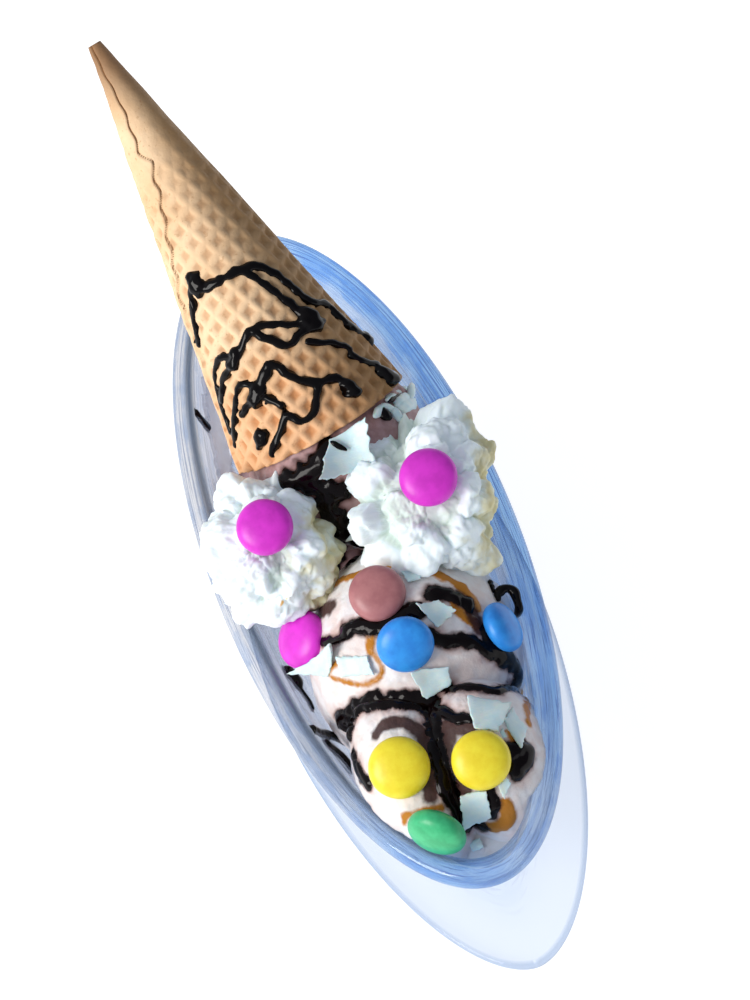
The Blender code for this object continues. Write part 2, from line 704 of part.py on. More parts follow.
def build_food(materials):
    chocolate = combine(make_chocolate(), "INTERSECT", [food_space()])
    cut_sockets(chocolate)
    into_parts(keep_largest(chocolate), "chocolate_scoop", materials["chocolate"])

    before = {
        "vanilla_centre": (),
        "vanilla_left": ("vanilla_centre",),
        "vanilla_right": ("vanilla_centre", "vanilla_left"),
    }
    for scoop, neighbours in before.items():
        made = combine(make_vanilla(scoop), "INTERSECT", [food_space()])
        rooms = [make_chocolate(GAP)] + [make_vanilla(other, GAP) for other in neighbours]
        combine(made, "DIFFERENCE", rooms)
        cut_sockets(made)
        into_parts(keep_largest(made), scoop, materials["vanilla"])

    melt = combine(make_melt(), "INTERSECT", [food_space()], "MANIFOLD")
    rooms = [make_chocolate(GAP)] + [make_vanilla(scoop, GAP) for scoop in before]
    combine(melt, "DIFFERENCE", rooms, "MANIFOLD")
    cut_sockets(melt)
    into_parts(keep_largest(melt), "melted_ice_cream", materials["vanilla"])

    for side in ("left", "right"):
        made = make_ball("cream_" + side, columns=CREAM_COLUMNS, rows=CREAM_ROWS)
        combine(made, "INTERSECT", [food_space()])
        rooms = [make_chocolate(GAP), make_vanilla("vanilla_centre", GAP), cone_room()]
        combine(made, "DIFFERENCE", rooms)
        cut_sockets(made)
        into_parts(keep_largest(made), "whipped_cream_" + side, materials["cream"])


def build():
    roughness = {"glass": 0.05, "wafer": 0.6, "chocolate": 0.45, "vanilla": 0.4, "cream": 0.6}
    materials = {}
    for name, colour in COLOURS.items():
        materials[name] = make_material(name, colour, roughness.get(name, 0.3))
    into_parts(make_dish(), "glass_dish", materials["glass"])
    into_parts(make_cone(), "waffle_cone", materials["wafer"])
    build_food(materials)
    for name, (centre, normal, size, colour) in CANDIES.items():
        into_parts(make_candy(name, centre, normal, size), name, materials[colour])
    for name, placing in FLAKES.items():
        into_parts(make_flake(name, *placing), name, materials["white_chocolate"])


build()
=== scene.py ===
"""Looks of the ice cream sundae: glass dish, scoops, sauce, whipped cream, candies, flakes and waffle cone.

Shapes are worked out in millimetres and put into meshes in metres. Most pieces are surfaces over a grid of
two parameters, with smooth lattice noise for their lumps and a distance field for the poured sauce.
"""
import math

import bpy
import numpy as np
from mathutils import Matrix, Vector


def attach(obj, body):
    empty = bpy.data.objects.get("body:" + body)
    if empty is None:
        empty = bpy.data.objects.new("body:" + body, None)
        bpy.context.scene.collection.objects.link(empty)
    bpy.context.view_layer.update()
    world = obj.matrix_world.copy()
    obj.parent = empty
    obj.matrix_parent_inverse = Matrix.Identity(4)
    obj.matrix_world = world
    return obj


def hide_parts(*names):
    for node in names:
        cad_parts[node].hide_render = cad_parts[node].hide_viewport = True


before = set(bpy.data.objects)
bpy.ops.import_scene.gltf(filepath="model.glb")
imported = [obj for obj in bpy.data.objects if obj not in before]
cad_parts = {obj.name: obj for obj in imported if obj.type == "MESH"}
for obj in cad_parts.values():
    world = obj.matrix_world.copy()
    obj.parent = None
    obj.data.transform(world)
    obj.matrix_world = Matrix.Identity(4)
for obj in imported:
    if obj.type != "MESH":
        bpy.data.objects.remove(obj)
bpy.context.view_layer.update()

MM = 0.001
BODY = "root"

# The camera: aim and distance in millimetres, angles in degrees
AIM = np.array([7.8, 7.2, 58.0])
DISTANCE = 900.0
LOOK_DOWN = 57.0
ROLL = 23.03
LENS = 127.33
SENSOR = 36.0
PICTURE = (750.0, 1000.0)

# The light, a window at the left with its place and target in millimetres, the wide floor and the sky
WINDOW_PLACE = Vector((-700.0, -250.0, 600.0))
WINDOW_TARGET = Vector((0.0, 0.0, 60.0))
WINDOW_POWER = 7.3
WINDOW_SIZE = 0.45
WINDOW_COLOUR = (1.0, 0.97, 0.93)
FLOOR_HALF_SIZE = 7000.0
LEFT_SKY = (0.78, 0.85, 0.95, 1.0)
RIGHT_SKY = (0.24, 0.27, 0.34, 1.0)

# The glass dish, as built
RIM_HALF_LENGTH = 104.0
RIM_HALF_WIDTH = 39.2
RIM_HEIGHT = 57.0
FLOOR_HEIGHT = 26.0
FOOT_HALF_LENGTH = 103.5
FOOT_HALF_WIDTH = 38.5
FOOT_POWER = 1.8
MOULD_SEAM = 0.5
SEAM_HALF_ANGLE = 1.0
DISH_STEPS = 288
RING_STEPS = 5
# Inset from the oval's outer line, height, and the share of the mould seam; then inset and height alone
FOOT_EDGE = (
    (0.8, 0.0, 0.0), (0.2, 0.3, 0.0), (0.0, 1.0, 0.0), (0.0, 2.2, 1.0), (1.6, 3.2, 1.0), (14.0, 5.0, 1.0),
)
OUTER_WALL = ((20.5, 21.5), (14.0, 27.5), (9.3, 35.0), (5.8, 43.0), (3.4, 49.5), (2.6, 51.2), (0.5, 52.0))
RIM_EDGE = ((0.0, 54.0), (0.7, 56.1), (2.2, RIM_HEIGHT), (4.6, RIM_HEIGHT), (6.2, 56.2))
# Half length, half width, height, power of the oval, and ridge of the mould seam
WAIST = (
    (68.0, 18.0, 8.0, 1.9, MOULD_SEAM),
    (58.0, 14.5, 12.5, 1.95, 0.3 * MOULD_SEAM),
    (62.0, 15.5, 17.0, 2.0, 0.0),
)
FLOOR_MIDDLE = (20.0, 4.0, 25.8, 2.0, 0.0)

# The waffle cone, as built
MOUTH_CENTRE = np.array([2.7, 24.5, 74.0])
CONE_AXIS = np.array([-0.133, 0.720, 0.681])
CONE_AXIS = CONE_AXIS / np.linalg.norm(CONE_AXIS)
CONE_LENGTH = 118.9
CONE_HALF_ANGLE = math.radians(11.2)
CONE_TIP = 111.0
CONE_WALL = 2.0
LAP_STEP = 0.8
# The rolled sheet's outer edge: millimetres up from the mouth, and degrees round from the front there
LAP_HEIGHTS = (0.0, 45.9, 50.6, 61.3, 69.7, 74.4, 79.0, 82.5, 90.7, 96.0, 103.5, 118.9)
LAP_TURNS = (-80.0, -71.0, -63.0, -47.0, -33.0, -28.0, -19.0, -33.0, -25.0, -23.0, -31.0, -31.0)
CELL = 4.35
CELL_TURN = math.radians(20.0)
CELL_START = (1.46, 0.82)
CELL_DEPTH = 1.1
# The distance from the sheet's edge, in millimetres, that stands for a place without a seam
SEAM_FREE = 9.0

# Centre and half sizes in millimetres, and for ice cream also the depth of the lumps and their size
SCOOPS = {
    "chocolate_ball": ((4.0, 17.3, 67.2), (23.5, 23.5, 23.5), 0.5, 13.0),
    "chocolate_base": ((-1.0, 27.0, 38.0), (27.5, 26.0, 14.5), 0.7, 11.0),
    "vanilla_centre": ((2.0, -34.0, 45.0), (27.5, 30.0, 32.0), 0.7, 14.0),
    "vanilla_left": ((-9.5, -66.0, 45.0), (15.5, 26.0, 25.0), 0.6, 12.0),
    "vanilla_right": ((8.5, -70.0, 46.0), (16.5, 22.0, 25.0), 0.6, 12.0),
    "melt_near": ((3.0, -80.0, 30.0), (25.0, 24.0, 20.5), 0.3, 6.0),
    "melt_wide": ((0.0, -42.0, 18.0), (45.0, 62.0, 18.0), 0.3, 6.0),
    "cream_left": ((-21.8, -4.5, 73.0), (15.6, 17.4, 15.2)),
    "cream_right": ((18.3, -8.6, 73.2), (19.8, 21.0, 17.4)),
}
SCOOP_BOTTOM = 33.0

# Poured toppings: half width in millimetres, then a route in an enlarged part of the picture. With the part's
# left, top and scale, its point (a, b) is the picture's pixel x = left + a / scale, y = top + b / scale.
FRONT_PART = (300.0, 560.0, 4.9)
BACK_PART = (190.0, 390.0, 4.752)
WHOLE_PICTURE = (0.0, 0.0, 1.0)
SAUCE = (
    (0.9, ((110, 405), (170, 395), (230, 370))),
    (1.9, ((230, 340), (300, 320), (380, 330), (450, 290), (520, 245), (570, 250))),
    (1.9, ((650, 165), (700, 165), (760, 180), (820, 220))),
    (1.5, ((650, 370), (720, 395), (800, 400), (860, 405), (920, 450), (990, 500))),
    (2.1, ((905, 350), (950, 430), (1010, 480), (1060, 540), (1075, 580))),
    (1.5, ((690, 615), (790, 630), (880, 625), (960, 640), (1030, 630), (1075, 600))),
    (2.4, ((250, 850), (210, 800), (290, 740), (350, 700), (450, 700), (560, 690), (640, 700))),
    (1.4, ((640, 700), (700, 745), (760, 770), (830, 780))),
    (2.5, ((640, 700), (660, 800), (670, 880), (680, 960), (700, 1050), (720, 1130))),
    (1.5, ((720, 1130), (760, 1210), (790, 1270), (830, 1300), (890, 1310))),
    (2.5, ((1040, 940), (1095, 925), (1110, 965), (1070, 1020))),
    (1.4, ((930, 1130), (950, 1190), (935, 1250))),
    (1.7, ((255, 960), (290, 1040), (330, 1090))),
)
CARAMEL = (
    (1.5, ((20, 235), (60, 215), (130, 140), (210, 95), (300, 75), (440, 45), (580, 55), (680, 75),
           (760, 110), (830, 170), (865, 230))),
    (1.6, ((750, 200), (770, 245), (820, 280), (860, 310))),
    (0.65, ((330, 380), (340, 440), (375, 480), (400, 540), (370, 590), (300, 612), (230, 600), (150, 570),
            (150, 540), (190, 490))),
    (1.1, ((345, 380), (345, 440))),
    (0.8, ((510, 1290), (520, 1255), (600, 1230), (690, 1215))),
    (1.3, ((1090, 660), (1110, 720), (1120, 790))),
    (1.0, ((1020, 850), (1045, 905))),
    (2.0, ((1005, 1200), (1020, 1250), (990, 1300), (945, 1310))),
)
STAIN = (
    (1.0, ((370, 850), (400, 810), (480, 790), (560, 820), (610, 880), (640, 950))),
    (1.3, ((700, 830), (760, 815), (830, 825))),
    (1.4, ((730, 880), (715, 960), (745, 1060), (800, 1120))),
    (1.2, ((610, 1000), (640, 1080), (640, 1150))),
    (1.2, ((880, 330), (840, 260))),
    (1.2, ((150, 230), (80, 260))),
)
BACK_SAUCE = (
    (3.0, ((470, 440), (560, 400), (640, 330), (660, 280))),
    (2.4, ((560, 450), (650, 470), (720, 480))),
    (2.8, ((640, 540), (690, 600), (760, 680), (830, 730))),
    (2.4, ((700, 700), (690, 790), (670, 850))),
    (1.6, ((760, 820), (840, 760))),
)
FRONT_SCOOPS = ("vanilla_centre", "vanilla_left", "vanilla_right", "melt_near")
BACK_SCOOPS = ("chocolate_ball", "chocolate_base", "vanilla_centre")

# Drizzle on the cone: half width, then millimetres up from the mouth and degrees round from the front. Its
# sheet runs over heights and turns, each given by its start, end and step.
DRIZZLE_HEIGHTS = (-0.5, 54.0, 0.28)
DRIZZLE_TURNS = (-82.0, 96.0, 0.75)
DRIZZLE = (
    (1.19, ((50, -38), (46, -31), (46, -15), (45.5, 8), (43.5, 30), (37.5, 41), (30, 49), (26, 65),
            (19.5, 70), (13, 82))),
    (1.07, ((50, -38), (44.5, -53), (34, -70))),
    (1.07, ((44.5, 14), (36.5, 27), (26.5, 35), (24.5, 20), (24, 10), (28, -1), (31, -7))),
    (0.96, ((26.5, 28), (30.5, 6), (31.7, -10), (28.5, -23), (26, -38), (24, -53), (19, -66))),
    (0.90, ((28, -32), (29, -47), (25, -63), (17.5, -71), (11, -72))),
    (1.02, ((21.3, -11), (17.2, -27), (14.2, -48))),
    (1.13, ((17.2, -27), (20.5, -16), (21.7, -7), (17.5, 0), (13, 10), (11, 26), (7, 31))),
    (0.90, ((19.8, -28), (20.7, -39), (17.3, -50), (7.5, -73))),
    (0.85, ((17.2, -27), (12.2, -15))),
    (0.96, ((12.5, 14), (7, 3), (6.2, -8), (9.3, -15), (7, -24), (2.5, -37))),
    (0.90, ((22, 25), (17.7, 43), (14.4, 51))),
    (0.90, ((13.3, 49), (9.6, 55), (7.3, 64))),
    (2.24, ((48.5, -38), (46.5, -37))),
    (2.73, ((27.5, 36), (24.5, 39))),
    (1.85, ((13.5, 81), (12.5, 83))),
    (1.85, ((28, -30), (26, -36))),
    (2.14, ((18, -26), (16, -30))),
    (2.04, ((8, 29), (6, 31))),
    (1.85, ((8, -38), (6, -42))),
    (2.34, ((4.5, 62), (2.5, 66))),
)

# Centre, the way the flat side faces, radius, and colour
CANDIES = {
    "candy_magenta_left_eye": ((-19.6, -8.3, 90.0), (0.02, -0.40, 0.92), 7.0, "magenta"),
    "candy_magenta_right_eye": ((21.9, -14.0, 90.6), (0.05, -0.40, 0.92), 7.2, "magenta"),
    "candy_mauve_nose": ((-0.6, -31.4, 78.6), (0.00, -0.30, 0.95), 7.0, "mauve"),
    "candy_blue_centre": ((0.9, -46.6, 76.6), (-0.10, -0.76, 0.64), 7.0, "blue"),
    "candy_magenta_side": ((-22.4, -25.6, 63.0), (-0.61, -0.04, 0.79), 7.4, "magenta"),
    "candy_blue_side": ((24.4, -45.8, 64.6), (0.90, -0.12, 0.42), 6.5, "blue"),
    "candy_yellow_left": ((-11.9, -73.9, 70.6), (-0.05, -0.47, 0.88), 7.5, "yellow"),
    "candy_yellow_right": ((6.8, -80.6, 70.4), (0.00, -0.50, 0.87), 7.2, "yellow"),
    "candy_green": ((-9.6, -89.8, 63.0), (-0.62, -0.76, 0.15), 7.3, "green"),
}
CANDY_FLATNESS = 0.49
CANDY_POWER = 2.35

# Flakes: centre and face direction, then the corners as pixels of the picture, and the bend in millimetres
FLAKES = {
    "flake_by_cone": (
        (4.8, 0.5, 88.4), (0.05, -0.45, 0.90), ((330, 440), (366, 418), (374, 462), (319, 483)), 1.6,
    ),
    "flake_top_right": (
        (9.8, -41.2, 75.3), (0.35, -0.25, 0.90), ((416, 606), (438, 600), (455, 612), (438, 628)), 0.7,
    ),
    "flake_left_back": (
        (-18.7, -36.1, 66.5), (-0.80, -0.10, 0.60), ((328, 644), (341, 645), (327, 677), (304, 672)), 0.5,
    ),
    "flake_left_front": (
        (-11.4, -44.0, 70.9), (-0.52, -0.38, 0.77), ((338, 656), (367, 656), (376, 674), (343, 677)), 0.8,
    ),
    "flake_middle": (
        (2.4, -55.2, 69.0), (0.10, -0.72, 0.69), ((409, 671), (449, 666), (450, 684), (427, 701)), 0.6,
    ),
    "flake_right": (
        (12.6, -69.0, 71.4), (0.32, 0.05, 0.95), ((467, 696), (511, 703), (498, 731), (474, 727)), 0.5,
    ),
    "flake_right_edge": (
        (17.9, -74.0, 66.1), (0.74, -0.10, 0.67), ((511, 708), (527, 728), (520, 749), (504, 720)), 0.3,
    ),
    "flake_near": (
        (0.3, -86.8, 61.6), (-0.10, -0.88, 0.47), ((459, 796), (486, 791), (492, 817), (464, 829)), 0.5,
    ),
}
FLAKE_THICKNESS = 1.0
FLAKE_ROWS, FLAKE_COLUMNS = 37, 29

# Crumbs of the same white chocolate, by their corners, on what carries them
CRUMBS = (
    (("vanilla_centre", "cream_right"), ((400, 570), (417, 566), (421, 579), (408, 582)), 0.8),
    (("melt_near", "vanilla_right"), ((498, 786), (506, 777), (511, 783), (504, 799)), 0.4),
    (("vanilla_right",), ((500, 733), (502, 728), (507, 737), (503, 738)), 0.2),
    (("melt_near",), ((489, 823), (497, 817), (505, 826), (496, 836)), 0.4),
    (("melt_near",), ((468, 842), (480, 838), (484, 848), (473, 852)), 0.4),
)
CRUMB_THICKNESS = 0.7

# Melted white drops at the cone's mouth and splashes of dark sauce: what carries each, the pixels of its two
# ends, and its half width in millimetres
WHITE_DROPS = (
    ("chocolate_ball", (374, 418), (382, 406), 1.2),
    ("chocolate_ball", (380, 406), (395, 411), 1.1),
    ("chocolate_ball", (391, 409), (401, 422), 1.5),
    ("chocolate_ball", (385, 402), (405, 389), 1.4),
    ("chocolate_ball", (394, 407), (408, 396), 1.6),
    ("chocolate_ball", (397, 411), (414, 402), 2.0),
    ("chocolate_ball", (411, 384), (409, 400), 1.2),
)
DARK_DROPS = (
    ("chocolate_ball", (381, 408), (387, 422), 1.5),
    ("chocolate_ball", (384, 418), (391, 417), 1.0),
    ("chocolate_ball", (387, 403), (404, 394), 0.75),
    ("flake_by_cone", (329, 441), (347, 451), 0.7),
    ("flake_by_cone", (361, 432), (365, 443), 0.45),
)
# A loop of sauce between the big scoop and the bowl's wall, and a dash beside it
LOOP = ((499, 601), (498, 595), (502, 590), (508, 588.5), (514, 592), (517, 600), (519, 609), (516, 617))
LOOP_RADIUS = 1.2
DASH = ((489.5, 580), (491.5, 586), (493.5, 592))
DASH_RADIUS = 0.7

# Caramel that soaks into the cream: half width, then a route as pixels of the picture
CREAM_CARAMEL = (
    (0.9, ((424, 506), (417, 515), (413, 524))),
    (0.7, ((436, 508), (442, 512))),
    (0.5, ((407, 534), (408, 542))),
    (0.7, ((452, 530), (460, 515), (462, 510))),
    (0.8, ((466, 468), (470, 470))),
    (0.6, ((300, 510), (303, 518))),
    (1.0, ((276, 612), (285, 600), (296, 592))),
    (0.6, ((311, 577), (316, 570))),
)

# Folds of cream: how many, their radius and height in millimetres, and their tilt
CREAM_FOLDS = ((30, 9.0, 2.4, 0.40), (90, 5.4, 1.0, 0.42), (120, 3.0, 0.20, 0.30))

# Peaks of cream: the pixel each tip reaches, and the radius of its foot in millimetres
PEAKS = {
    "cream_right": (
        (355, 412, 2.8), (366, 424, 3.0), (379, 430, 3.4), (394, 422, 3.8), (404, 409, 3.4), (421, 416, 3.4),
        (338, 452, 2.6), (333, 479, 2.8), (338, 540, 2.8), (437, 413, 3.6), (449, 415, 3.0), (461, 420, 3.6),
        (484, 452, 3.4), (491, 476, 3.6), (499, 496, 3.0), (504, 515, 3.8), (506, 540, 3.6), (501, 562, 3.8),
        (487, 576, 3.2), (470, 584, 3.4), (372, 566, 3.0),
    ),
    "cream_left": (
        (281, 466, 3.2), (303, 485, 3.0), (325, 500, 2.8), (337, 522, 3.0), (336, 552, 2.6), (230, 486, 3.0),
        (221, 500, 2.6), (213, 518, 2.6), (205, 536, 2.8), (198, 551, 3.0), (202, 575, 3.0), (214, 590, 3.0),
        (232, 618, 3.4), (250, 628, 3.4), (318, 596, 3.0),
    ),
}

# Sauce that drips down the bowl's inner wall, and the film of melted ice cream there: half width, then route
# as pixels of the picture. Both are sheets over a grid round the wall, from near the rim downwards.
WALL_DRIPS = (
    (0.85, ((197, 412), (203, 420), (209, 427))),
    (1.1, ((313, 728), (330, 734), (347, 741))),
    (1.3, ((328, 744), (341, 755), (352, 768), (362, 781))),
    (2.2, ((288, 671), (296, 681))),
    (0.7, ((302, 690), (309, 700), (313, 708))),
)
WALL_FILM = (
    (4.5, ((212, 392), (218, 430), (226, 470), (233, 490))),
    (2.0, ((222, 372), (226, 384))),
    (2.6, ((236, 655), (262, 690), (292, 735))),
)
WALL_COLUMNS, WALL_ROWS = 1700, 90
WALL_TOP, WALL_BOTTOM = RIM_HEIGHT - 0.6, 34.0
# How far before and behind the aim a camera line is searched for the wall, and in how many places
SEARCH, SEARCH_STEPS = 120.0, 4001

SAUCE_BLACK = (0.003, 0.001, 0.001)
VANILLA_COLOURS = ((0.80, 0.77, 0.76), (0.74, 0.63, 0.59), (0.46, 0.26, 0.22))
CHOCOLATE_COLOURS = ((0.46, 0.30, 0.30), (0.32, 0.18, 0.17), (0.12, 0.05, 0.04))

GRADIENTS = np.random.default_rng(7).normal(size=(256, 3))
GRADIENTS /= np.linalg.norm(GRADIENTS, axis=1)[:, None]
SHUFFLE = np.random.default_rng(11).permutation(256)


def unit(vectors):
    """Vectors of length 1 in the same directions."""
    return vectors / np.linalg.norm(vectors, axis=-1, keepdims=True)


def camera_axes():
    """Right, up and ahead directions of the camera."""
    tilt, roll = math.radians(LOOK_DOWN), math.radians(ROLL)
    ahead = np.array([0.0, math.cos(tilt), -math.sin(tilt)])
    level = np.array([1.0, 0.0, 0.0])
    above = np.array([0.0, math.sin(tilt), math.cos(tilt)])
    right = math.cos(roll) * level - math.sin(roll) * above
    up = math.sin(roll) * level + math.cos(roll) * above
    return right, up, ahead


def camera_line(x, y):
    """The camera's place and its direction through a pixel of the picture."""
    right, up, ahead = camera_axes()
    focal = LENS / SENSOR * PICTURE[1]
    direction = ahead + right * (x - PICTURE[0] / 2) / focal - up * (y - PICTURE[1] / 2) / focal
    return AIM - DISTANCE * ahead, unit(direction)


def scoop_ball(scoop):
    """The centre and the half sizes of a scoop."""
    return tuple(np.array(values) for values in SCOOPS[scoop][:2])


def seen_on(scoops, x, y):
    """Where the camera's line through a pixel first meets one of the balls, or passes it closest."""
    start, direction = camera_line(x, y)
    best = None
    for scoop in scoops:
        centre, sizes = scoop_ball(scoop)
        offset, slope = (start - centre) / sizes, direction / sizes
        middle = -(offset @ slope) / (slope @ slope)
        spare = (offset @ slope) ** 2 - (slope @ slope) * (offset @ offset - 1.0)
        miss = max(0.0, -spare)
        far = middle - math.sqrt(max(spare, 0.0)) / (slope @ slope)
        if best is None or (miss, far) < best:
            best = (miss, far)
    return start + best[1] * direction


def poured(routes, part, scoops):
    """Routes in a picture part as places on the scoops."""
    left, top, scale = part
    return [
        (half_width, np.array([seen_on(scoops, left + a / scale, top + b / scale) for a, b in route]))
        for half_width, route in routes
    ]


def smooth_step(value, low, high):
    part = np.clip((value - low) / (high - low), 0.0, 1.0)
    return part * part * (3.0 - 2.0 * part)


def lumps(points, size, seed=0):
    """Smooth noise of about -1 to 1: slopes on a cubic lattice of the size, eased from corner to corner."""
    place = np.asarray(points, float) / size + 0.37 * seed
    cell = np.floor(place).astype(int)
    part = place - cell
    ease = part ** 3 * (part * (part * 6.0 - 15.0) + 10.0)
    total = np.zeros(place.shape[:-1])
    for corner in np.ndindex(2, 2, 2):
        key = cell + corner
        index = SHUFFLE[(key[..., 2] + seed) % 256]
        index = SHUFFLE[(key[..., 1] + index) % 256]
        slope = GRADIENTS[SHUFFLE[(key[..., 0] + index) % 256]]
        weight = np.prod(np.where(np.array(corner) == 1, ease, 1.0 - ease), axis=-1)
        total += weight * np.sum(slope * (part - corner), axis=-1)
    return total * 1.7


def fractal(points, size, seed=0, octaves=3):
    """Noise with finer noise of half the strength added on it at each octave."""
    total = np.zeros(np.asarray(points).shape[:-1])
    for octave in range(octaves):
        total += lumps(points, size / 2 ** octave, seed + octave) / 2 ** octave
    return total


def grid_quads(rows, columns, closed=True):
    """The faces between neighbouring rows of a grid of points, which may close on itself sideways."""
    row = np.arange(rows - 1)[:, None] * columns
    column = np.arange(columns if closed else columns - 1)[None, :]
    following = (column + 1) % columns
    corners = (row + column, row + following, row + columns + following, row + columns + column)
    return np.stack([np.broadcast_to(corner, corners[0].shape) for corner in corners], axis=-1).reshape(-1, 4)


def closed_tube(rings):
    """Points and faces of a tube of rings, rows x columns x 3, with a fan to a middle point at each end."""
    rows, columns = rings.shape[:2]
    points = np.concatenate([rings.reshape(-1, 3), rings[:1].mean(axis=1), rings[-1:].mean(axis=1)])
    step = np.arange(columns)
    following = (step + 1) % columns
    last = (rows - 1) * columns
    first_fan = np.stack([following, step, np.full(columns, rows * columns)], axis=1)
    last_fan = np.stack([last + step, last + following, np.full(columns, rows * columns + 1)], axis=1)
    return points, grid_quads(rows, columns), np.concatenate([first_fan, last_fan])


def joined(parts):
    """Several (points, quads, triangles) as one."""
    start = 0
    points, quads, triangles = [], [], []
    for part_points, part_quads, part_triangles in parts:
        points.append(part_points)
        quads.append(np.asarray(part_quads, int).reshape(-1, 4) + start)
        triangles.append(np.asarray(part_triangles, int).reshape(-1, 3) + start)
        start += len(part_points)
    return np.concatenate(points), np.concatenate(quads), np.concatenate(triangles)


def make_piece(name, shape, material, nodes=(), marks=None):
    """Puts points in millimetres and their faces into a smooth mesh that rides on the sundae's body."""
    points, quads, triangles = shape
    mesh = bpy.data.meshes.new(name)
    mesh.vertices.add(len(points))
    mesh.vertices.foreach_set("co", (np.asarray(points) * MM).astype(np.float32).ravel())
    corners = np.concatenate([quads.ravel(), triangles.ravel()]).astype(np.int32)
    starts = np.concatenate([4 * np.arange(len(quads)), 4 * len(quads) + 3 * np.arange(len(triangles))])
    mesh.loops.add(len(corners))
    mesh.loops.foreach_set("vertex_index", corners)
    mesh.polygons.add(len(starts))
    mesh.polygons.foreach_set("loop_start", starts.astype(np.int32))
    mesh.update(calc_edges=True)
    mesh.validate()
    mesh.shade_smooth()
    for mark, values in (marks or {}).items():
        layer = mesh.attributes.new(mark, "FLOAT", "POINT")
        layer.data.foreach_set("value", np.asarray(values, np.float32).ravel())
    mesh.materials.append(material)
    piece = bpy.data.objects.new(name, mesh)
    bpy.context.scene.collection.objects.link(piece)
    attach(piece, BODY)
    if nodes:
        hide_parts(*nodes)


# Finishes


class Finish:
    """A material with one Principled shader, and short ways to add the nodes that feed it."""

    def __init__(self, name, **settings):
        self.material = bpy.data.materials.new(name)
        self.material.use_nodes = True
        self.tree = self.material.node_tree
        self.shader = self.tree.nodes["Principled BSDF"]
        for key, value in settings.items():
            self.shader.inputs[key.replace("_", " ")].default_value = value
        self.place = self.add("ShaderNodeTexCoord").outputs["Object"]

    def add(self, kind, inputs=None, **settings):
        node = self.tree.nodes.new(kind)
        for key, value in settings.items():
            setattr(node, key, value)
        for key, value in (inputs or {}).items():
            if isinstance(value, bpy.types.NodeSocket):
                self.tree.links.new(value, node.inputs[key])
            else:
                node.inputs[key].default_value = value
        return node

    def grain(self, size, detail=3.0, stretch=(1.0, 1.0, 1.0)):
        """Noise with features of about the size in millimetres."""
        mapped = self.add("ShaderNodeMapping", {"Vector": self.place, "Scale": stretch})
        inputs = {"Vector": mapped.outputs[0], "Scale": 1.0 / (MM * size), "Detail": detail}
        return self.add("ShaderNodeTexNoise", {**inputs, "Roughness": 0.55}).outputs["Fac"]

    def math(self, operation, first, second=0.0, third=0.0):
        return self.add("ShaderNodeMath", {0: first, 1: second, 2: third}, operation=operation).outputs[0]

    def sum(self, first, second):
        return self.math("ADD", first, second)

    def product(self, first, second):
        return self.math("MULTIPLY", first, second)

    def between(self, value, low, high):
        """0 below low and 1 above high, eased in between."""
        inputs = {"Value": value, "From Min": low, "From Max": high}
        return self.add("ShaderNodeMapRange", inputs, interpolation_type="SMOOTHSTEP").outputs["Result"]

    def mark(self, name):
        return self.add("ShaderNodeAttribute", attribute_name=name).outputs["Fac"]

    def mix(self, factor, first, second, blend="MIX"):
        node = self.add("ShaderNodeMix", data_type="RGBA", blend_type=blend)
        for socket, value in ((node.inputs[0], factor), (node.inputs[6], first), (node.inputs[7], second)):
            if isinstance(value, bpy.types.NodeSocket):
                self.tree.links.new(value, socket)
            elif isinstance(value, (int, float)):
                socket.default_value = value
            else:
                socket.default_value = (*value, 1.0)
        return node.outputs[2]

    def blend_values(self, factor, first, second):
        return self.math("MULTIPLY_ADD", factor, second - first, first)

    def colour(self, socket):
        self.tree.links.new(socket, self.shader.inputs["Base Color"])

    def rough(self, socket):
        self.tree.links.new(socket, self.shader.inputs["Roughness"])

    def bump(self, height, depth):
        """Relief with the depth in millimetres for a height of 0 to 1."""
        node = self.add("ShaderNodeBump", {"Height": height, "Distance": depth * MM, "Strength": 1.0})
        self.tree.links.new(node.outputs[0], self.shader.inputs["Normal"])


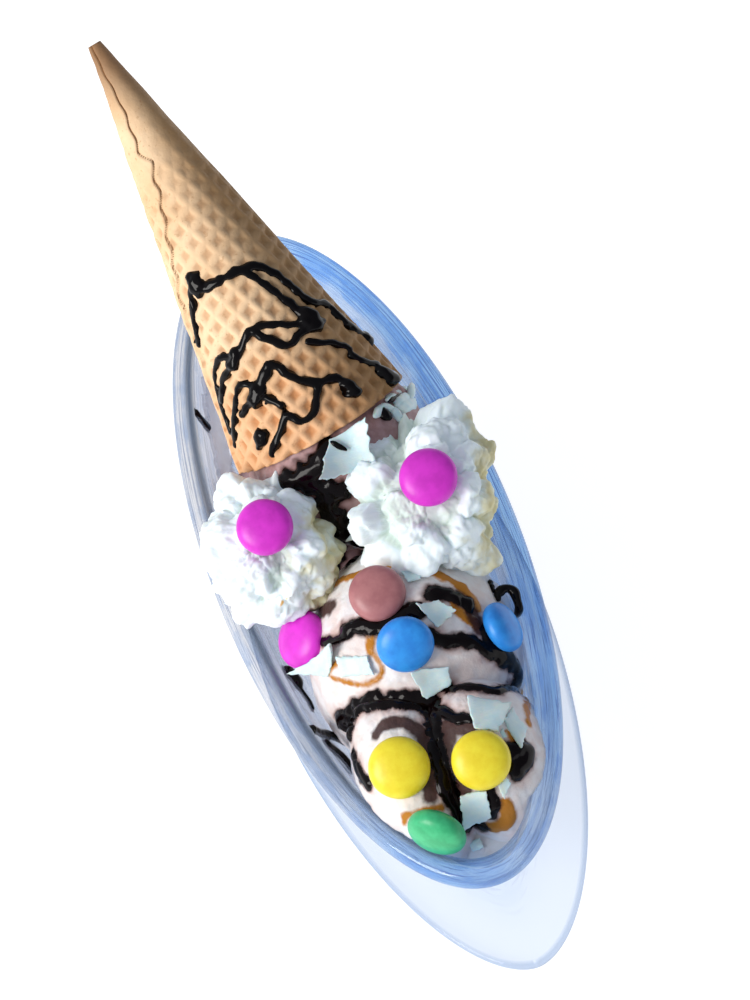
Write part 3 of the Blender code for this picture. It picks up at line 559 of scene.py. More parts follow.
def glass_finish():
    """Clear pressed glass: see-through walls, lines along the rim, a painted blue reflection on the right,
    grey on the left with a dark band of painted shade inside the rim.
    """
    glass = Finish("clear_pressed_glass", Roughness=0.05, IOR=1.8, Specular_IOR_Level=0.8)
    along = glass.add("ShaderNodeCombineXYZ", {0: glass.mark("ring"), 1: glass.mark("round")}).outputs[0]
    wide = glass.add("ShaderNodeTexNoise", {"Vector": along, "Scale": 0.55, "Detail": 4.0}).outputs["Fac"]
    fine = glass.add("ShaderNodeTexNoise", {"Vector": along, "Scale": 2.4, "Detail": 3.0}).outputs["Fac"]
    patch = glass.grain(13.0, 3.0)
    # Painted reflection: the marked right side and near end take a saturated blue for the blue surroundings
    # seen in the glass.
    blue = glass.mark("blue")
    outside = glass.mix(blue, (0.92, 0.91, 0.91), (0.60, 0.78, 0.98))
    within = glass.mix(blue, (0.91, 0.91, 0.95), (0.82, 0.87, 0.96))
    tint = glass.mix(glass.mark("inside"), outside, within)
    deep = glass.mix(blue, (0.72, 0.77, 0.86), (0.42, 0.64, 0.95))
    banded = glass.mix(glass.between(glass.sum(wide, patch), 0.98, 1.12), tint, deep)
    line = glass.between(fine, 0.55, 0.64)
    lined = glass.mix(line, banded, glass.mix(blue, (0.60, 0.64, 0.73), (0.26, 0.42, 0.76)))
    # Painted shade: a dark grey-blue band just inside the rim on the left.
    left_rim_shade = glass.mark("left_rim_shade")
    walls = glass.mix(left_rim_shade, lined, (0.20, 0.24, 0.30))
    edged = glass.mix(glass.mark("foot_edge"), (0.985, 0.988, 0.992), (0.74, 0.80, 0.89))
    colour = glass.mix(glass.mark("tint"), edged, walls)
    glass.colour(glass.mix(1.0, colour, (0.42, 0.50, 0.62), "MULTIPLY"))
    glass.bump(wide, 0.06)
    clear = glass.add("ShaderNodeBsdfTransparent", {"Color": colour})
    drawn = glass.product(glass.product(line, glass.mark("tint")), 0.15)
    facing = glass.add("ShaderNodeLayerWeight").outputs["Facing"]
    edge = glass.product(glass.math("POWER", facing, 3.5), 0.7)
    glossy = glass.math("MINIMUM", glass.sum(glass.sum(glass.mark("veil"), drawn), edge), 0.9)
    both = glass.add("ShaderNodeMixShader", {0: glossy, 1: clear.outputs[0], 2: glass.shader.outputs[0]})
    glass.tree.links.new(both.outputs[0], glass.tree.nodes["Material Output"].inputs["Surface"])
    return glass.material


def wafer_finish():
    """Baked wafer: pale ridges, browner pits that are partly painted shade, specks, a darker tip and mouth,
    and painted shade on the right side.
    """
    wafer = Finish("baked_wafer", Roughness=0.62, Specular_IOR_Level=0.25)
    blotch = wafer.grain(16.0, 4.0)
    pale = wafer.mix(wafer.between(blotch, 0.35, 0.65), (0.77, 0.50, 0.28), (0.85, 0.60, 0.37))
    # Browner pits: partly the wafer's own browning and partly painted shade in the recesses, stronger near
    # the mouth.
    pit_browning_and_shade_strength = wafer.math("MULTIPLY_ADD", wafer.between(wafer.mark("along"), 0.42, 0.05), 0.55, 0.45)
    pit_browning_and_shade = wafer.product(wafer.between(wafer.mark("pit"), 0.3, 1.0), pit_browning_and_shade_strength)
    pits = wafer.mix(pit_browning_and_shade, pale, (0.40, 0.17, 0.06))
    lower = wafer.product(wafer.between(wafer.mark("along"), 0.34, 0.0), 0.6)
    mouth = wafer.mix(lower, pits, (0.70, 0.32, 0.13))
    # Painted shade: the marked right side, away from the window, is darkened towards deep brown.
    side = wafer.mix(wafer.product(wafer.mark("side"), 0.85), mouth, (0.27, 0.145, 0.05))
    tip = wafer.mix(wafer.between(wafer.mark("along"), 0.78, 0.98), side, (0.30, 0.16, 0.075))
    specks = wafer.between(wafer.grain(1.1, 2.0), 0.62, 0.72)
    specked = wafer.mix(wafer.product(specks, 0.35), tip, (0.36, 0.16, 0.05))
    seam = wafer.mix(wafer.between(wafer.mark("seam"), 0.20, 0.04), specked, (0.26, 0.12, 0.045))
    wafer.colour(seam)
    wafer.bump(wafer.grain(0.9, 4.0), 0.12)
    return wafer.material


def sauce_finish():
    """Dark chocolate sauce, almost black and glossy."""
    sauce = Finish("dark_sauce", Roughness=0.09, Specular_IOR_Level=0.15)
    sauce.colour(sauce.mix(sauce.grain(2.5), (0.001, 0.001, 0.001), (0.003, 0.001, 0.001)))
    sauce.bump(sauce.grain(2.6, 1.0), 0.08)
    return sauce.material


def ice_cream_finish(name, light, shade, smear_colour):
    """Churned ice cream with poured sauce: the marks give how far a point lies inside the sauce's edge."""
    cream = Finish(name, Subsurface_Weight=0.12, Subsurface_Scale=0.002, Specular_IOR_Level=0.14)
    cream.shader.inputs["Subsurface Radius"].default_value = (1.0, 0.7, 0.5)
    fine = cream.grain(1.3, 4.0)
    body = cream.mix(cream.between(cream.grain(7.0, 4.0), 0.35, 0.65), light, shade)
    ragged = cream.math("MULTIPLY_ADD", cream.grain(2.4, 3.0), 1.6, -0.75)
    streaks = cream.math("MULTIPLY_ADD", cream.grain(5.0, 3.0, (0.35, 1.0, 1.0)), 7.0, -4.0)
    smear = cream.between(cream.sum(cream.mark("sauce"), streaks), -3.2, 0.4)
    body = cream.mix(cream.product(smear, 0.75), body, smear_colour)
    caramel = cream.sum(cream.mark("caramel"), ragged)
    golden = cream.mix(cream.between(caramel, -0.5, 0.5), body, (0.46, 0.18, 0.022))
    edge = cream.sum(cream.mark("sauce"), ragged)
    brown = cream.math("MAXIMUM", edge, cream.sum(cream.mark("stain"), ragged))
    soaked = cream.product(cream.between(brown, -1.2, 0.2), 0.95)
    stained = cream.mix(soaked, golden, (0.045, 0.012, 0.009))
    poured = cream.between(edge, -0.35, 0.05)
    cream.colour(cream.mix(poured, stained, SAUCE_BLACK))
    shiny = cream.math("MAXIMUM", poured, cream.between(caramel, -0.2, 0.5))
    cream.rough(cream.blend_values(shiny, 0.42, 0.11))
    cream.bump(cream.product(fine, cream.blend_values(poured, 1.0, 0.08)), 0.22)
    return cream.material


def whipped_finish():
    """Whipped cream: cool white where it stands proud, with painted shade: grey in its folds and straw away
    from the window.
    """
    cream = Finish("whipped_cream", Roughness=0.6, Specular_IOR_Level=0.2)
    cream.shader.inputs["Subsurface Weight"].default_value = 0.4
    cream.shader.inputs["Subsurface Scale"].default_value = 0.003
    cream.shader.inputs["Subsurface Radius"].default_value = (1.0, 0.9, 0.7)
    patch = cream.math("MULTIPLY_ADD", cream.grain(6.0, 3.0), 1.6, -0.8)
    # Painted shade: grey-green in the folds.
    fold = cream.between(cream.sum(cream.mark("fold"), patch), 0.25, 1.1)
    body = cream.mix(fold, (0.86, 0.96, 0.98), (0.70, 0.79, 0.72))
    # Painted shade: straw on the side away from the window.
    away = cream.between(cream.sum(cream.mark("away"), patch), 0.35, 1.1)
    straw = cream.mix(away, body, (0.68, 0.62, 0.36))
    warm = cream.between(cream.sum(cream.mark("caramel"), patch), 0.35, 0.9)
    cream.colour(cream.mix(warm, straw, (0.74, 0.42, 0.11)))
    cream.bump(cream.grain(1.6, 3.0), 0.10)
    return cream.material


def film_finish():
    """A thin pinkish skin of melted ice cream."""
    film = Finish("melted_film", Roughness=0.35, Specular_IOR_Level=0.25, Alpha=0.4)
    mottled = film.between(film.grain(5.0, 4.0), 0.35, 0.7)
    film.colour(film.mix(mottled, (0.86, 0.78, 0.76), (0.88, 0.86, 0.90)))
    film.bump(film.grain(1.5, 3.0), 0.08)
    return film.material


def candy_finish(name, colour, deep):
    """A sugar coat: a little mottled, satin, with tiny dents."""
    coat = Finish(name, Roughness=0.38, Coat_Weight=0.1, Coat_Roughness=0.3, Specular_IOR_Level=0.35)
    coat.colour(coat.mix(coat.between(coat.grain(3.0, 4.0), 0.30, 0.72), colour, deep))
    coat.bump(coat.grain(1.6, 3.0), 0.05)
    return coat.material


def flake_finish():
    """White chocolate with a satin skin, faintly mottled and grained."""
    flake = Finish("white_chocolate", Roughness=0.38, Subsurface_Weight=0.2, Subsurface_Scale=0.002)
    mottled = flake.between(flake.grain(4.0, 4.0), 0.3, 0.7)
    flake.colour(flake.mix(mottled, (0.56, 0.74, 0.77), (0.70, 0.80, 0.76)))
    flake.bump(flake.grain(1.8, 3.0, (1.0, 3.0, 1.0)), 0.10)
    return flake.material


# Shapes


def oval(half_length, half_width, height, power, seam):
    """Points round |x/w|^power + |y/l|^power = 1, with a narrow ridge at both ends. Arguments are columns."""
    angle = np.linspace(0.0, math.tau, DISH_STEPS, endpoint=False)[None, :]
    across, along = np.cos(angle), np.sin(angle)
    ridge = seam * np.exp(-(np.degrees(np.arcsin(np.clip(across, -1, 1))) / SEAM_HALF_ANGLE) ** 2)
    x = half_width * np.sign(across) * np.abs(across) ** (2.0 / power)
    y = (half_length + ridge) * np.sign(along) * np.abs(along) ** (2.0 / power)
    return np.stack([x, y, height + ridge], axis=-1)


def bowl_inset(height):
    """How far the inner wall lies inside the rim's outer line: 7 + 6 d + 15 d^4 of the depth d, 0 to 1."""
    depth = (RIM_HEIGHT - height) / (RIM_HEIGHT - FLOOR_HEIGHT)
    return 7.0 + 6.0 * depth + 15.0 * depth ** 4


def eased(rows, steps):
    """A smooth curve through rows of numbers: cubic runs whose slopes come from the neighbouring rows."""
    rows = np.asarray(rows, float)
    padded = np.concatenate([2 * rows[:1] - rows[1:2], rows, 2 * rows[-1:] - rows[-2:-1]])
    t = np.linspace(0.0, 1.0, steps, endpoint=False)[None, :, None]
    a, b, c, d = (padded[k:len(padded) - 3 + k, None, :] for k in range(4))
    square, cube = 2 * a - 5 * b + 4 * c - d, 3 * b - a - 3 * c + d
    runs = 0.5 * (2 * b + (c - a) * t + square * t ** 2 + cube * t ** 3)
    return np.concatenate([runs.reshape(-1, rows.shape[1]), rows[-1:]])


def make_dish():
    """Oval rings from the foot's underside over foot, waist, outer wall and rim, and down the inner wall."""
    foot = [
        (FOOT_HALF_LENGTH - inset, FOOT_HALF_WIDTH - inset, height, FOOT_POWER, seam * MOULD_SEAM)
        for inset, height, seam in FOOT_EDGE
    ]
    inner = [(bowl_inset(height), height) for height in np.linspace(54.5, 27.5, 14)]
    walls = [
        (RIM_HALF_LENGTH - inset, RIM_HALF_WIDTH - inset, height, 2.0, 0.0)
        for inset, height in [*OUTER_WALL, *RIM_EDGE, *inner, (bowl_inset(FLOOR_HEIGHT), FLOOR_HEIGHT)]
    ]
    profile = eased([*foot, *WAIST, *walls, FLOOR_MIDDLE], RING_STEPS)
    lengths, widths, heights, powers, seams = (profile[:, k:k + 1] for k in range(5))
    rings = oval(lengths, widths, np.clip(heights, 0.0, RIM_HEIGHT), powers, seams)
    turn = np.linspace(0.0, math.tau, DISH_STEPS, endpoint=False)[None, :] + 0.0 * lengths
    steps = np.hypot(np.diff(widths[:, 0]), np.diff(heights[:, 0]))
    run = np.concatenate([[0.0], np.cumsum(steps)])[:, None] + 0.0 * turn
    edge_row = RING_STEPS * (len(FOOT_EDGE) + len(WAIST) + len(OUTER_WALL) + len(RIM_EDGE) - 1)
    past = run - run[edge_row]
    nearer = -np.sin(turn)
    # Painted reflection: marks the right side and the near end, where the glass is painted blue for reflected
    # blue surroundings.
    blue = smooth_step(np.cos(turn) + np.maximum(1.3 * nearer, -0.3 * nearer), -0.1, 0.8)
    blue = blue * (1.0 - 0.6 * np.exp(-((np.degrees(turn) - 292.0) / 20.0) ** 2))
    left = smooth_step(-np.cos(turn), 0.0, 0.4)
    foot_edge = smooth_step(widths, FOOT_HALF_WIDTH - 1.6, FOOT_HALF_WIDTH - 0.3) * (heights < 4.0)
    veil = 0.012 + 0.15 * foot_edge + 0.13 * smooth_step(heights, 3.5, 9.0)
    marks = {
        "ring": run,
        "round": 1.5 * np.sin(turn) + 1.5 * np.abs(np.cos(turn)),
        "blue": blue,
        "tint": 0.50 * smooth_step(heights, 4.0, 9.0) + 0.50 * smooth_step(heights, 36.0, 50.0) + 0.0 * turn,
        "inside": smooth_step(past, 0.0, 2.5),
        "foot_edge": foot_edge + 0.0 * turn,
        # Painted shade: the dark band just inside the rim on the left
        "left_rim_shade": np.exp(-((past + 0.8) / 1.3) ** 2) * left,
        "veil": veil + 0.10 * smooth_step(heights, 38.0, 53.0) + 0.0 * turn,
    }
    return closed_tube(rings), {key: with_ends(values) for key, values in marks.items()}


def into_bowl(points, reach):
    """Draws points that lie past the bowl's inner wall back onto it, and lets them reach into the glass."""
    height = np.clip(points[..., 2], FLOOR_HEIGHT, RIM_HEIGHT)
    inset = bowl_inset(height) - reach
    ratio = np.hypot(points[..., 0] / (RIM_HALF_WIDTH - inset), points[..., 1] / (RIM_HALF_LENGTH - inset))
    shrink = np.where(points[..., 2] < RIM_HEIGHT, np.maximum(ratio, 1.0), 1.0)
    drawn = points.copy()
    drawn[..., :2] /= shrink[..., None]
    drawn[..., 2] = np.maximum(drawn[..., 2], FLOOR_HEIGHT - reach)
    return drawn


def ball_directions(rows, columns):
    """Unit directions of a ball's grid from the bottom to the top, without the poles."""
    rise = np.radians(np.linspace(-90.0, 90.0, rows + 2)[1:-1])[:, None]
    turn = np.linspace(0.0, math.tau, columns, endpoint=False)[None, :]
    flat = np.cos(rise)
    return np.stack([flat * np.cos(turn), flat * np.sin(turn), np.sin(rise) * np.ones_like(turn)], axis=-1)


def sauce_field(points, routes, wobble=0.25, grain=3.0, blend=2.5):
    """How far each point lies inside the edge of the poured routes, and the half width there.

    For each route it is the half width less the distance to the route, and routes merge by a soft maximum.
    """
    flat = points.reshape(-1, points.shape[-1])
    spread = 1.0 + wobble * lumps(flat, grain, 5)
    total = np.full(len(flat), 1e-9)
    widths = np.zeros(len(flat))
    for half_width, route in routes:
        path = eased(route, 4) if len(route) > 2 else np.asarray(route, float)
        start, run = path[:-1], np.diff(path, axis=0)
        nearest = np.full(len(flat), 1e9)
        for origin, step in zip(start, run):
            offset = flat - origin
            part = np.clip(offset @ step / max(step @ step, 1e-9), 0.0, 1.0)
            nearest = np.minimum(nearest, np.linalg.norm(offset - part[:, None] * step, axis=1))
        inside = half_width * spread - nearest
        weight = np.exp(blend * np.clip(inside, -8.0, 4.0))
        total += weight
        widths += weight * half_width
    edge = np.log(total) / blend
    return edge.reshape(points.shape[:-1]), (widths / total).reshape(points.shape[:-1])


def bead_height(edge, width, fullness):
    """The rise of a poured bead: the arc of a circle from its edge to its middle, zero outside."""
    inside = np.clip(edge, 0.0, width)
    return fullness * np.sqrt(inside * (2.0 * width - inside))


def scoop_surface(scoop, rows, columns, grain_depth):
    """A lumpy ball, centre + half sizes x direction + outward x noise; the outward way; a finer grain."""
    centre, sizes = scoop_ball(scoop)
    depth, size = SCOOPS[scoop][2:]
    direction = ball_directions(rows, columns)
    outward = unit(direction / sizes)
    points = centre + direction * sizes
    points = points + outward * (depth * lumps(points, size, 1))[..., None]
    return points, outward, grain_depth * fractal(points, 4.0, 2, 4)


DARK_ROUTES = poured(SAUCE, FRONT_PART, FRONT_SCOOPS) + poured(BACK_SAUCE, BACK_PART, BACK_SCOOPS)
SWEET_ROUTES = poured(CARAMEL, FRONT_PART, FRONT_SCOOPS)
STAIN_ROUTES = poured(STAIN, FRONT_PART, FRONT_SCOOPS)


def topped(points, outward, grain):
    """Adds the grain of bare ice cream and smooth beads of topping, and marks how far points lie inside."""
    edge, width = sauce_field(points, DARK_ROUTES, 0.45, 2.6)
    sweet, sweet_width = sauce_field(points, SWEET_ROUTES)
    stain = sauce_field(points, STAIN_ROUTES)[0] + 0.5
    bare = 1.0 - 0.85 * smooth_step(edge, -0.4, 0.2)
    rise = bead_height(edge, width, 0.50) + bead_height(sweet, sweet_width, 0.22) + grain * bare
    return points + outward * rise[..., None], {"sauce": edge, "caramel": sweet, "stain": stain}


def with_ends(values):
    """The values of a grid, followed by those of the points that close its first and its last row."""
    return np.append(values.ravel(), [values[0].mean(), values[-1].mean()])


def vanilla_scoop(scoop, rows, columns):
    """A scoop of ice cream with its sauce and caramel, flat below and pressed to the glass it meets."""
    points, marks = topped(*scoop_surface(scoop, rows, columns, 0.32))
    points = into_bowl(points, 0.1)
    points[..., 2] = np.maximum(points[..., 2], SCOOP_BOTTOM)
    return closed_tube(points), {key: with_ends(values) for key, values in marks.items()}


def petals(points, seeds, slopes, sizes, heights):
    """Overlapping tilted folds: the highest of height + slope . offset - 0.6 size (distance / size)^4."""
    flat = points.reshape(-1, 3)
    total = np.full(len(flat), -3.0)
    for seed, slope, size, height in zip(seeds, slopes, sizes, heights):
        offset = flat - seed
        away = np.sum(offset ** 2, axis=1) / size ** 2
        total = np.maximum(total, height + offset @ slope - 0.6 * size * away ** 2)
    return total.reshape(points.shape[:-1])


def peak_places(scoop):
    """For each peak: the place of its foot on the ball, the way it points, its height and foot radius."""
    centre, sizes = scoop_ball(scoop)
    for x, y, radius in PEAKS[scoop]:
        way = seen_on([scoop], x, y) - centre
        length = np.linalg.norm(way)
        way = way / length
        surface = 1.0 / np.linalg.norm(way / sizes)
        yield centre + way * surface, way, max(1.2, length - surface), radius


def cream_surface(scoop, rows, columns, seed):
    """Whipped cream: a ball with overlapping folds of three sizes, and pointed peaks on its outline.

    Gives the points, how deep each lies in a fold, and how far it faces away from the window: both marks for
    painted shade.
    """
    random = np.random.default_rng(seed)
    centre, sizes = scoop_ball(scoop)
    direction = ball_directions(rows, columns)
    outward = unit(direction / sizes)
    points = centre + direction * sizes
    shift = np.stack([fractal(points, 4.0, seed + 5 * k, 3) for k in range(3)], axis=-1)
    warped = points + 1.5 * shift
    rise = np.zeros(points.shape[:2])
    for count, radius, height, tilt in CREAM_FOLDS:
        way = unit(random.normal(size=(count, 3)))
        slope = tilt * unit(random.normal(size=(count, 3)))
        spread = radius * random.uniform(0.75, 1.25, count)
        layer = petals(warped, centre + way * sizes, slope, spread, height * random.uniform(0.3, 1.1, count))
        rise = rise + np.maximum(layer, -0.7 * height)
    # Painted shade: how deep a point lies in a fold, for the grey there.
    fold = smooth_step(rise, 1.3, -0.9)
    rise = rise - 1.9 + 0.08 * lumps(points, 1.4, seed + 41)
    points = points + outward * rise[..., None]
    for foot, way, height, radius in peak_places(scoop):
        near = np.clip(1.0 - np.linalg.norm(warped - foot, axis=-1) / (1.35 * radius), 0.0, 1.0)
        lean = 0.35 * random.normal(size=3)
        points = points + (near ** 1.3)[..., None] * (1.35 * height * way + lean * near[..., None])
    # Painted shade: how far a point faces away from the window, for the straw there.
    shade_side = direction @ np.array([0.80, -0.25, -0.30]) + 0.25 * lumps(points, 9.0, seed + 50)
    return into_bowl(points, 0.0), {"fold": fold, "away": smooth_step(shade_side, 0.05, 0.85)}


def cone_frame():
    """Front, side and axis directions of the leaning cone, in rows."""
    front = np.array([0.0, -CONE_AXIS[2], CONE_AXIS[1]])
    front = unit(front - front @ CONE_AXIS * CONE_AXIS)
    return np.stack([front, np.cross(CONE_AXIS, front), CONE_AXIS])


def cone_points(along, degrees, lift):
    """Places on the wafer: the straight cone's radius, plus the rolled sheet's lap, plus the lift."""
    plain = (CONE_LENGTH - along) * math.tan(CONE_HALF_ANGLE)
    lap = LAP_STEP * ((degrees - lap_line(along)) % 360.0) / 360.0
    radius = plain + lap * np.minimum(1.0, plain / 10.0) + lift
    angle = np.radians(degrees)
    local = np.stack([radius * np.cos(angle), radius * np.sin(angle), along + 0.0 * radius], axis=-1)
    return MOUTH_CENTRE + local @ cone_frame()


def lap_line(along):
    """Where the sheet's outer edge runs round the cone, in degrees, a little wavy."""
    return np.interp(along, LAP_HEIGHTS, LAP_TURNS) + 3.0 * np.sin(0.9 * np.asarray(along, float))


def unrolled(along, degrees):
    """The wafer laid flat: the distance from the apex and the angle round it that the cone unrolls to."""
    slant = (CONE_LENGTH - along) / math.cos(CONE_HALF_ANGLE)
    turn = np.radians(degrees) * math.sin(CONE_HALF_ANGLE)
    return slant * np.cos(turn), slant * np.sin(turn)


def waffle_pits(along, degrees):
    """0 on the ridges to 1 in the middle of a square pit, on a turned, uneven lattice of the flat wafer."""
    u, v = unrolled(along, degrees)
    place = np.stack(np.broadcast_arrays(u, v, 0.0 * u), axis=-1)
    u, v = u + 0.30 * lumps(place, 9.0, 61), v + 0.30 * lumps(place, 9.0, 62)
    one = (u * math.cos(CELL_TURN) + v * math.sin(CELL_TURN) - CELL_START[0]) / CELL
    two = (v * math.cos(CELL_TURN) - u * math.sin(CELL_TURN) - CELL_START[1]) / CELL
    off = np.maximum(np.abs(one - np.round(one)), np.abs(two - np.round(two)))
    return smooth_step(0.47 - off, 0.0, 0.40)


def make_wafer():
    """Outer rings with the pressed lattice from tip to mouth, then the plain inner wall, as one tube."""
    columns, rows = 352, 232
    along = (CONE_TIP - 0.3) * np.linspace(0.0, 1.0, rows)[:, None]
    degrees = np.linspace(-180.0, 180.0, columns, endpoint=False)[None, :]
    pit = waffle_pits(along, degrees)
    flatness = smooth_step(along, 58.0, 92.0)
    beside = np.abs((degrees - lap_line(along) + 180.0) % 360.0 - 180.0) * np.pi / 180.0
    seam = beside * (CONE_LENGTH - along) * math.tan(CONE_HALF_ANGLE)
    place = np.stack(np.broadcast_arrays(*unrolled(along, degrees), 0.0 * along), axis=-1)
    press = np.clip(0.85 + 0.5 * lumps(place, 12.0, 4), 0.35, 1.25)
    press = press * (1.3 - 0.45 * smooth_step(along, 0.0, 45.0))
    deep = CELL_DEPTH * press * (1.0 - 0.85 * flatness) * smooth_step(seam, 0.4, 3.0)
    waves = 0.25 * lumps(place, 14.0, 3) * smooth_step(along, 0.0, 6.0)
    crack = 0.3 * (1.0 - smooth_step(seam, 0.0, 0.4)) * smooth_step(along, 40.0, 46.0)
    outer = cone_points(along, degrees, waves - deep * pit - crack)
    inner_along = np.array([0.0, 25.0, 50.0, 75.0, 92.0, 98.0])[:, None]
    inner = cone_points(inner_along, degrees, -CONE_WALL + 0.0 * inner_along)
    rings = np.concatenate([outer[::-1], inner])
    # Painted shade: marks the right side of the cone, away from the window, for a darker brown.
    side = smooth_step(degrees, -10.0, 55.0) * (1.0 - smooth_step(degrees, 130.0, 178.0)) + 0.0 * along
    marks = {
        name: np.append(np.concatenate([values[::-1], within + np.zeros((len(inner_along), columns))]), ends)
        for name, values, within, ends in (
            ("side", side, 0.0, (0.0, 0.0)),
            ("pit", pit * (1.0 - flatness), 0.0, (0.0, 0.0)),
            ("along", along / CONE_TIP + 0.0 * degrees, inner_along / CONE_TIP, (1.0, 0.9)),
            ("seam", np.where(along > 42.0, seam, SEAM_FREE), SEAM_FREE, (SEAM_FREE, SEAM_FREE)),
        )
    }
    points, quads, triangles = closed_tube(rings)
    return (points, quads[:, ::-1], triangles[:, ::-1]), marks


def slab(top, bottom, keep):
    """A closed sheet of the grid cells to keep: top faces, bottom faces turned over, and walls round them."""
    rows, columns = top.shape[:2]
    quads = grid_quads(rows, columns, closed=False)[keep.ravel()]
    edges = np.concatenate([quads[:, [k, (k + 1) % 4]] for k in range(4)])
    key = np.sort(edges, axis=1)
    code = key[:, 0] * rows * columns + key[:, 1]
    found, first, count = np.unique(code, return_index=True, return_counts=True)
    border = edges[first[count == 1]]
    shift = rows * columns
    walls = np.stack([border[:, 1], border[:, 0], border[:, 0] + shift, border[:, 1] + shift], axis=1)
    faces = np.concatenate([quads, quads[:, ::-1] + shift, walls])
    points = np.concatenate([top.reshape(-1, 3), bottom.reshape(-1, 3)])
    used = np.unique(faces)
    renumber = np.zeros(len(points), int)
    renumber[used] = np.arange(len(used))
    return points[used], renumber[faces], np.zeros((0, 3), int)


def bead_sheet(place_at, lift, deep, thickness):
    """A closed sheet over the cells whose lift reaches above the deep level, with a flat bottom below it."""
    corners = (lift[:-1, :-1], lift[1:, :-1], lift[:-1, 1:], lift[1:, 1:])
    top = place_at(np.maximum(lift, deep))
    bottom = place_at(0.0 * lift + deep - thickness)
    points, quads, triangles = slab(top, bottom, np.maximum.reduce(corners) > deep)
    return points, quads[:, ::-1], triangles


def make_drizzle():
    """Poured lines on the wafer: beads over their distance field that dip into it past their edge."""
    along = np.arange(*DRIZZLE_HEIGHTS)[:, None]
    degrees = np.arange(*DRIZZLE_TURNS)[None, :]
    u, v = unrolled(along, degrees)
    place = np.stack([u, v, 0.0 * u], axis=-1)
    routes = []
    for half_width, route in DRIZZLE:
        path = np.asarray(route, float)
        flat_u, flat_v = unrolled(path[:, 0], path[:, 1])
        routes.append((half_width, np.stack([flat_u, flat_v, 0.0 * flat_u], axis=1)))
    edge, width = sauce_field(place, routes, 0.5, 2.6, 3.5)
    lift = bead_height(edge, width, 0.85) - 0.25 + 3.5 * np.minimum(edge, 0.0)
    return bead_sheet(lambda height: cone_points(along, degrees, height), lift, -1.3, 0.15)


def make_candy(centre, normal, size, seed):
    """A sugar-coated lentil: a rounded lens profile turned about its short axis, with faint dents."""
    rise = np.radians(np.linspace(-90.0, 90.0, 34)[1:-1])[:, None]
    turn = np.linspace(0.0, math.tau, 72, endpoint=False)[None, :]
    radius = size * np.abs(np.cos(rise)) ** (2.0 / CANDY_POWER)
    height = size * CANDY_FLATNESS * np.sign(np.sin(rise)) * np.abs(np.sin(rise)) ** (2.0 / CANDY_POWER)
    points = np.stack([radius * np.cos(turn), radius * np.sin(turn), height + 0.0 * turn], axis=-1)
    points = points * (1.0 + 0.012 * lumps(points, 6.0, seed))[..., None]
    facing = np.array(Vector(normal).to_track_quat("Z", "Y").to_matrix())
    return closed_tube(points @ facing.T + centre)


def on_plane(centre, normal, x, y):
    """Where the camera's line through a pixel meets the plane through the centre."""
    start, direction = camera_line(x, y)
    return start + direction * ((np.array(centre) - start) @ normal / (direction @ normal))


def make_flake(centre, normal, corners, bend, thickness, seed):
    """A thin curved shaving: a bent four-cornered grid with a ragged outline, of even thickness."""
    normal = unit(np.array(normal))
    one, two, three, four = (on_plane(centre, normal, *corner) for corner in corners)
    across = np.linspace(0.0, 1.0, FLAKE_ROWS)[:, None, None]
    along = np.linspace(0.0, 1.0, FLAKE_COLUMNS)[None, :, None]
    flat = (1 - along) * ((1 - across) * one + across * two) + along * ((1 - across) * four + across * three)
    length = np.linalg.norm(two - one)
    sideways = (two - one) / length
    near_edge = np.maximum(np.abs(2 * across[..., 0] - 1), np.abs(2 * along[..., 0] - 1))
    tears = lumps(flat, 0.22 * length, seed) + 0.5 * lumps(flat, 0.1 * length, seed + 1)
    ragged = 0.035 * length * near_edge ** 4 * tears
    middle = flat.mean(axis=(0, 1))
    flat = flat + ragged[..., None] * (flat - middle) / (0.3 * length)
    arch = bend * ((flat - middle) @ sideways / (0.5 * length)) ** 2
    arch = arch + 0.14 * lumps(flat, 3.5, seed + 2) - 0.4 * bend
    half = 0.5 * thickness * (1.0 - 0.5 * near_edge ** 6)
    top = flat + (arch + half)[..., None] * normal
    bottom = flat + (arch - half)[..., None] * normal
    points, quads, triangles = slab(top, bottom, np.ones((FLAKE_ROWS - 1, FLAKE_COLUMNS - 1), bool))
    if np.cross(two - one, four - one) @ normal < 0:
        return points, quads[:, ::-1], triangles
    return points, quads, triangles


def make_crumbs():
    """Small flakes that lie on the scoops, each square to the surface that carries it."""
    pieces = []
    for number, (carriers, corners, lift) in enumerate(CRUMBS):
        middle = np.mean(corners, axis=0)
        centre = seen_on(carriers, *middle)
        normal = min((outward_at(scoop, centre) for scoop in carriers), key=lambda way: abs(way[1]))
        place = centre + lift * normal[0]
        pieces.append(make_flake(place, normal[0], corners, 0.2, CRUMB_THICKNESS, 90 + 3 * number))
    return joined(pieces)


def outward_at(scoop, place):
    """The outward direction of a ball at a place, and how far the place lies from its surface."""
    centre, sizes = scoop_ball(scoop)
    offset = (place - centre) / sizes
    return unit(offset / sizes), np.linalg.norm(offset) - 1.0


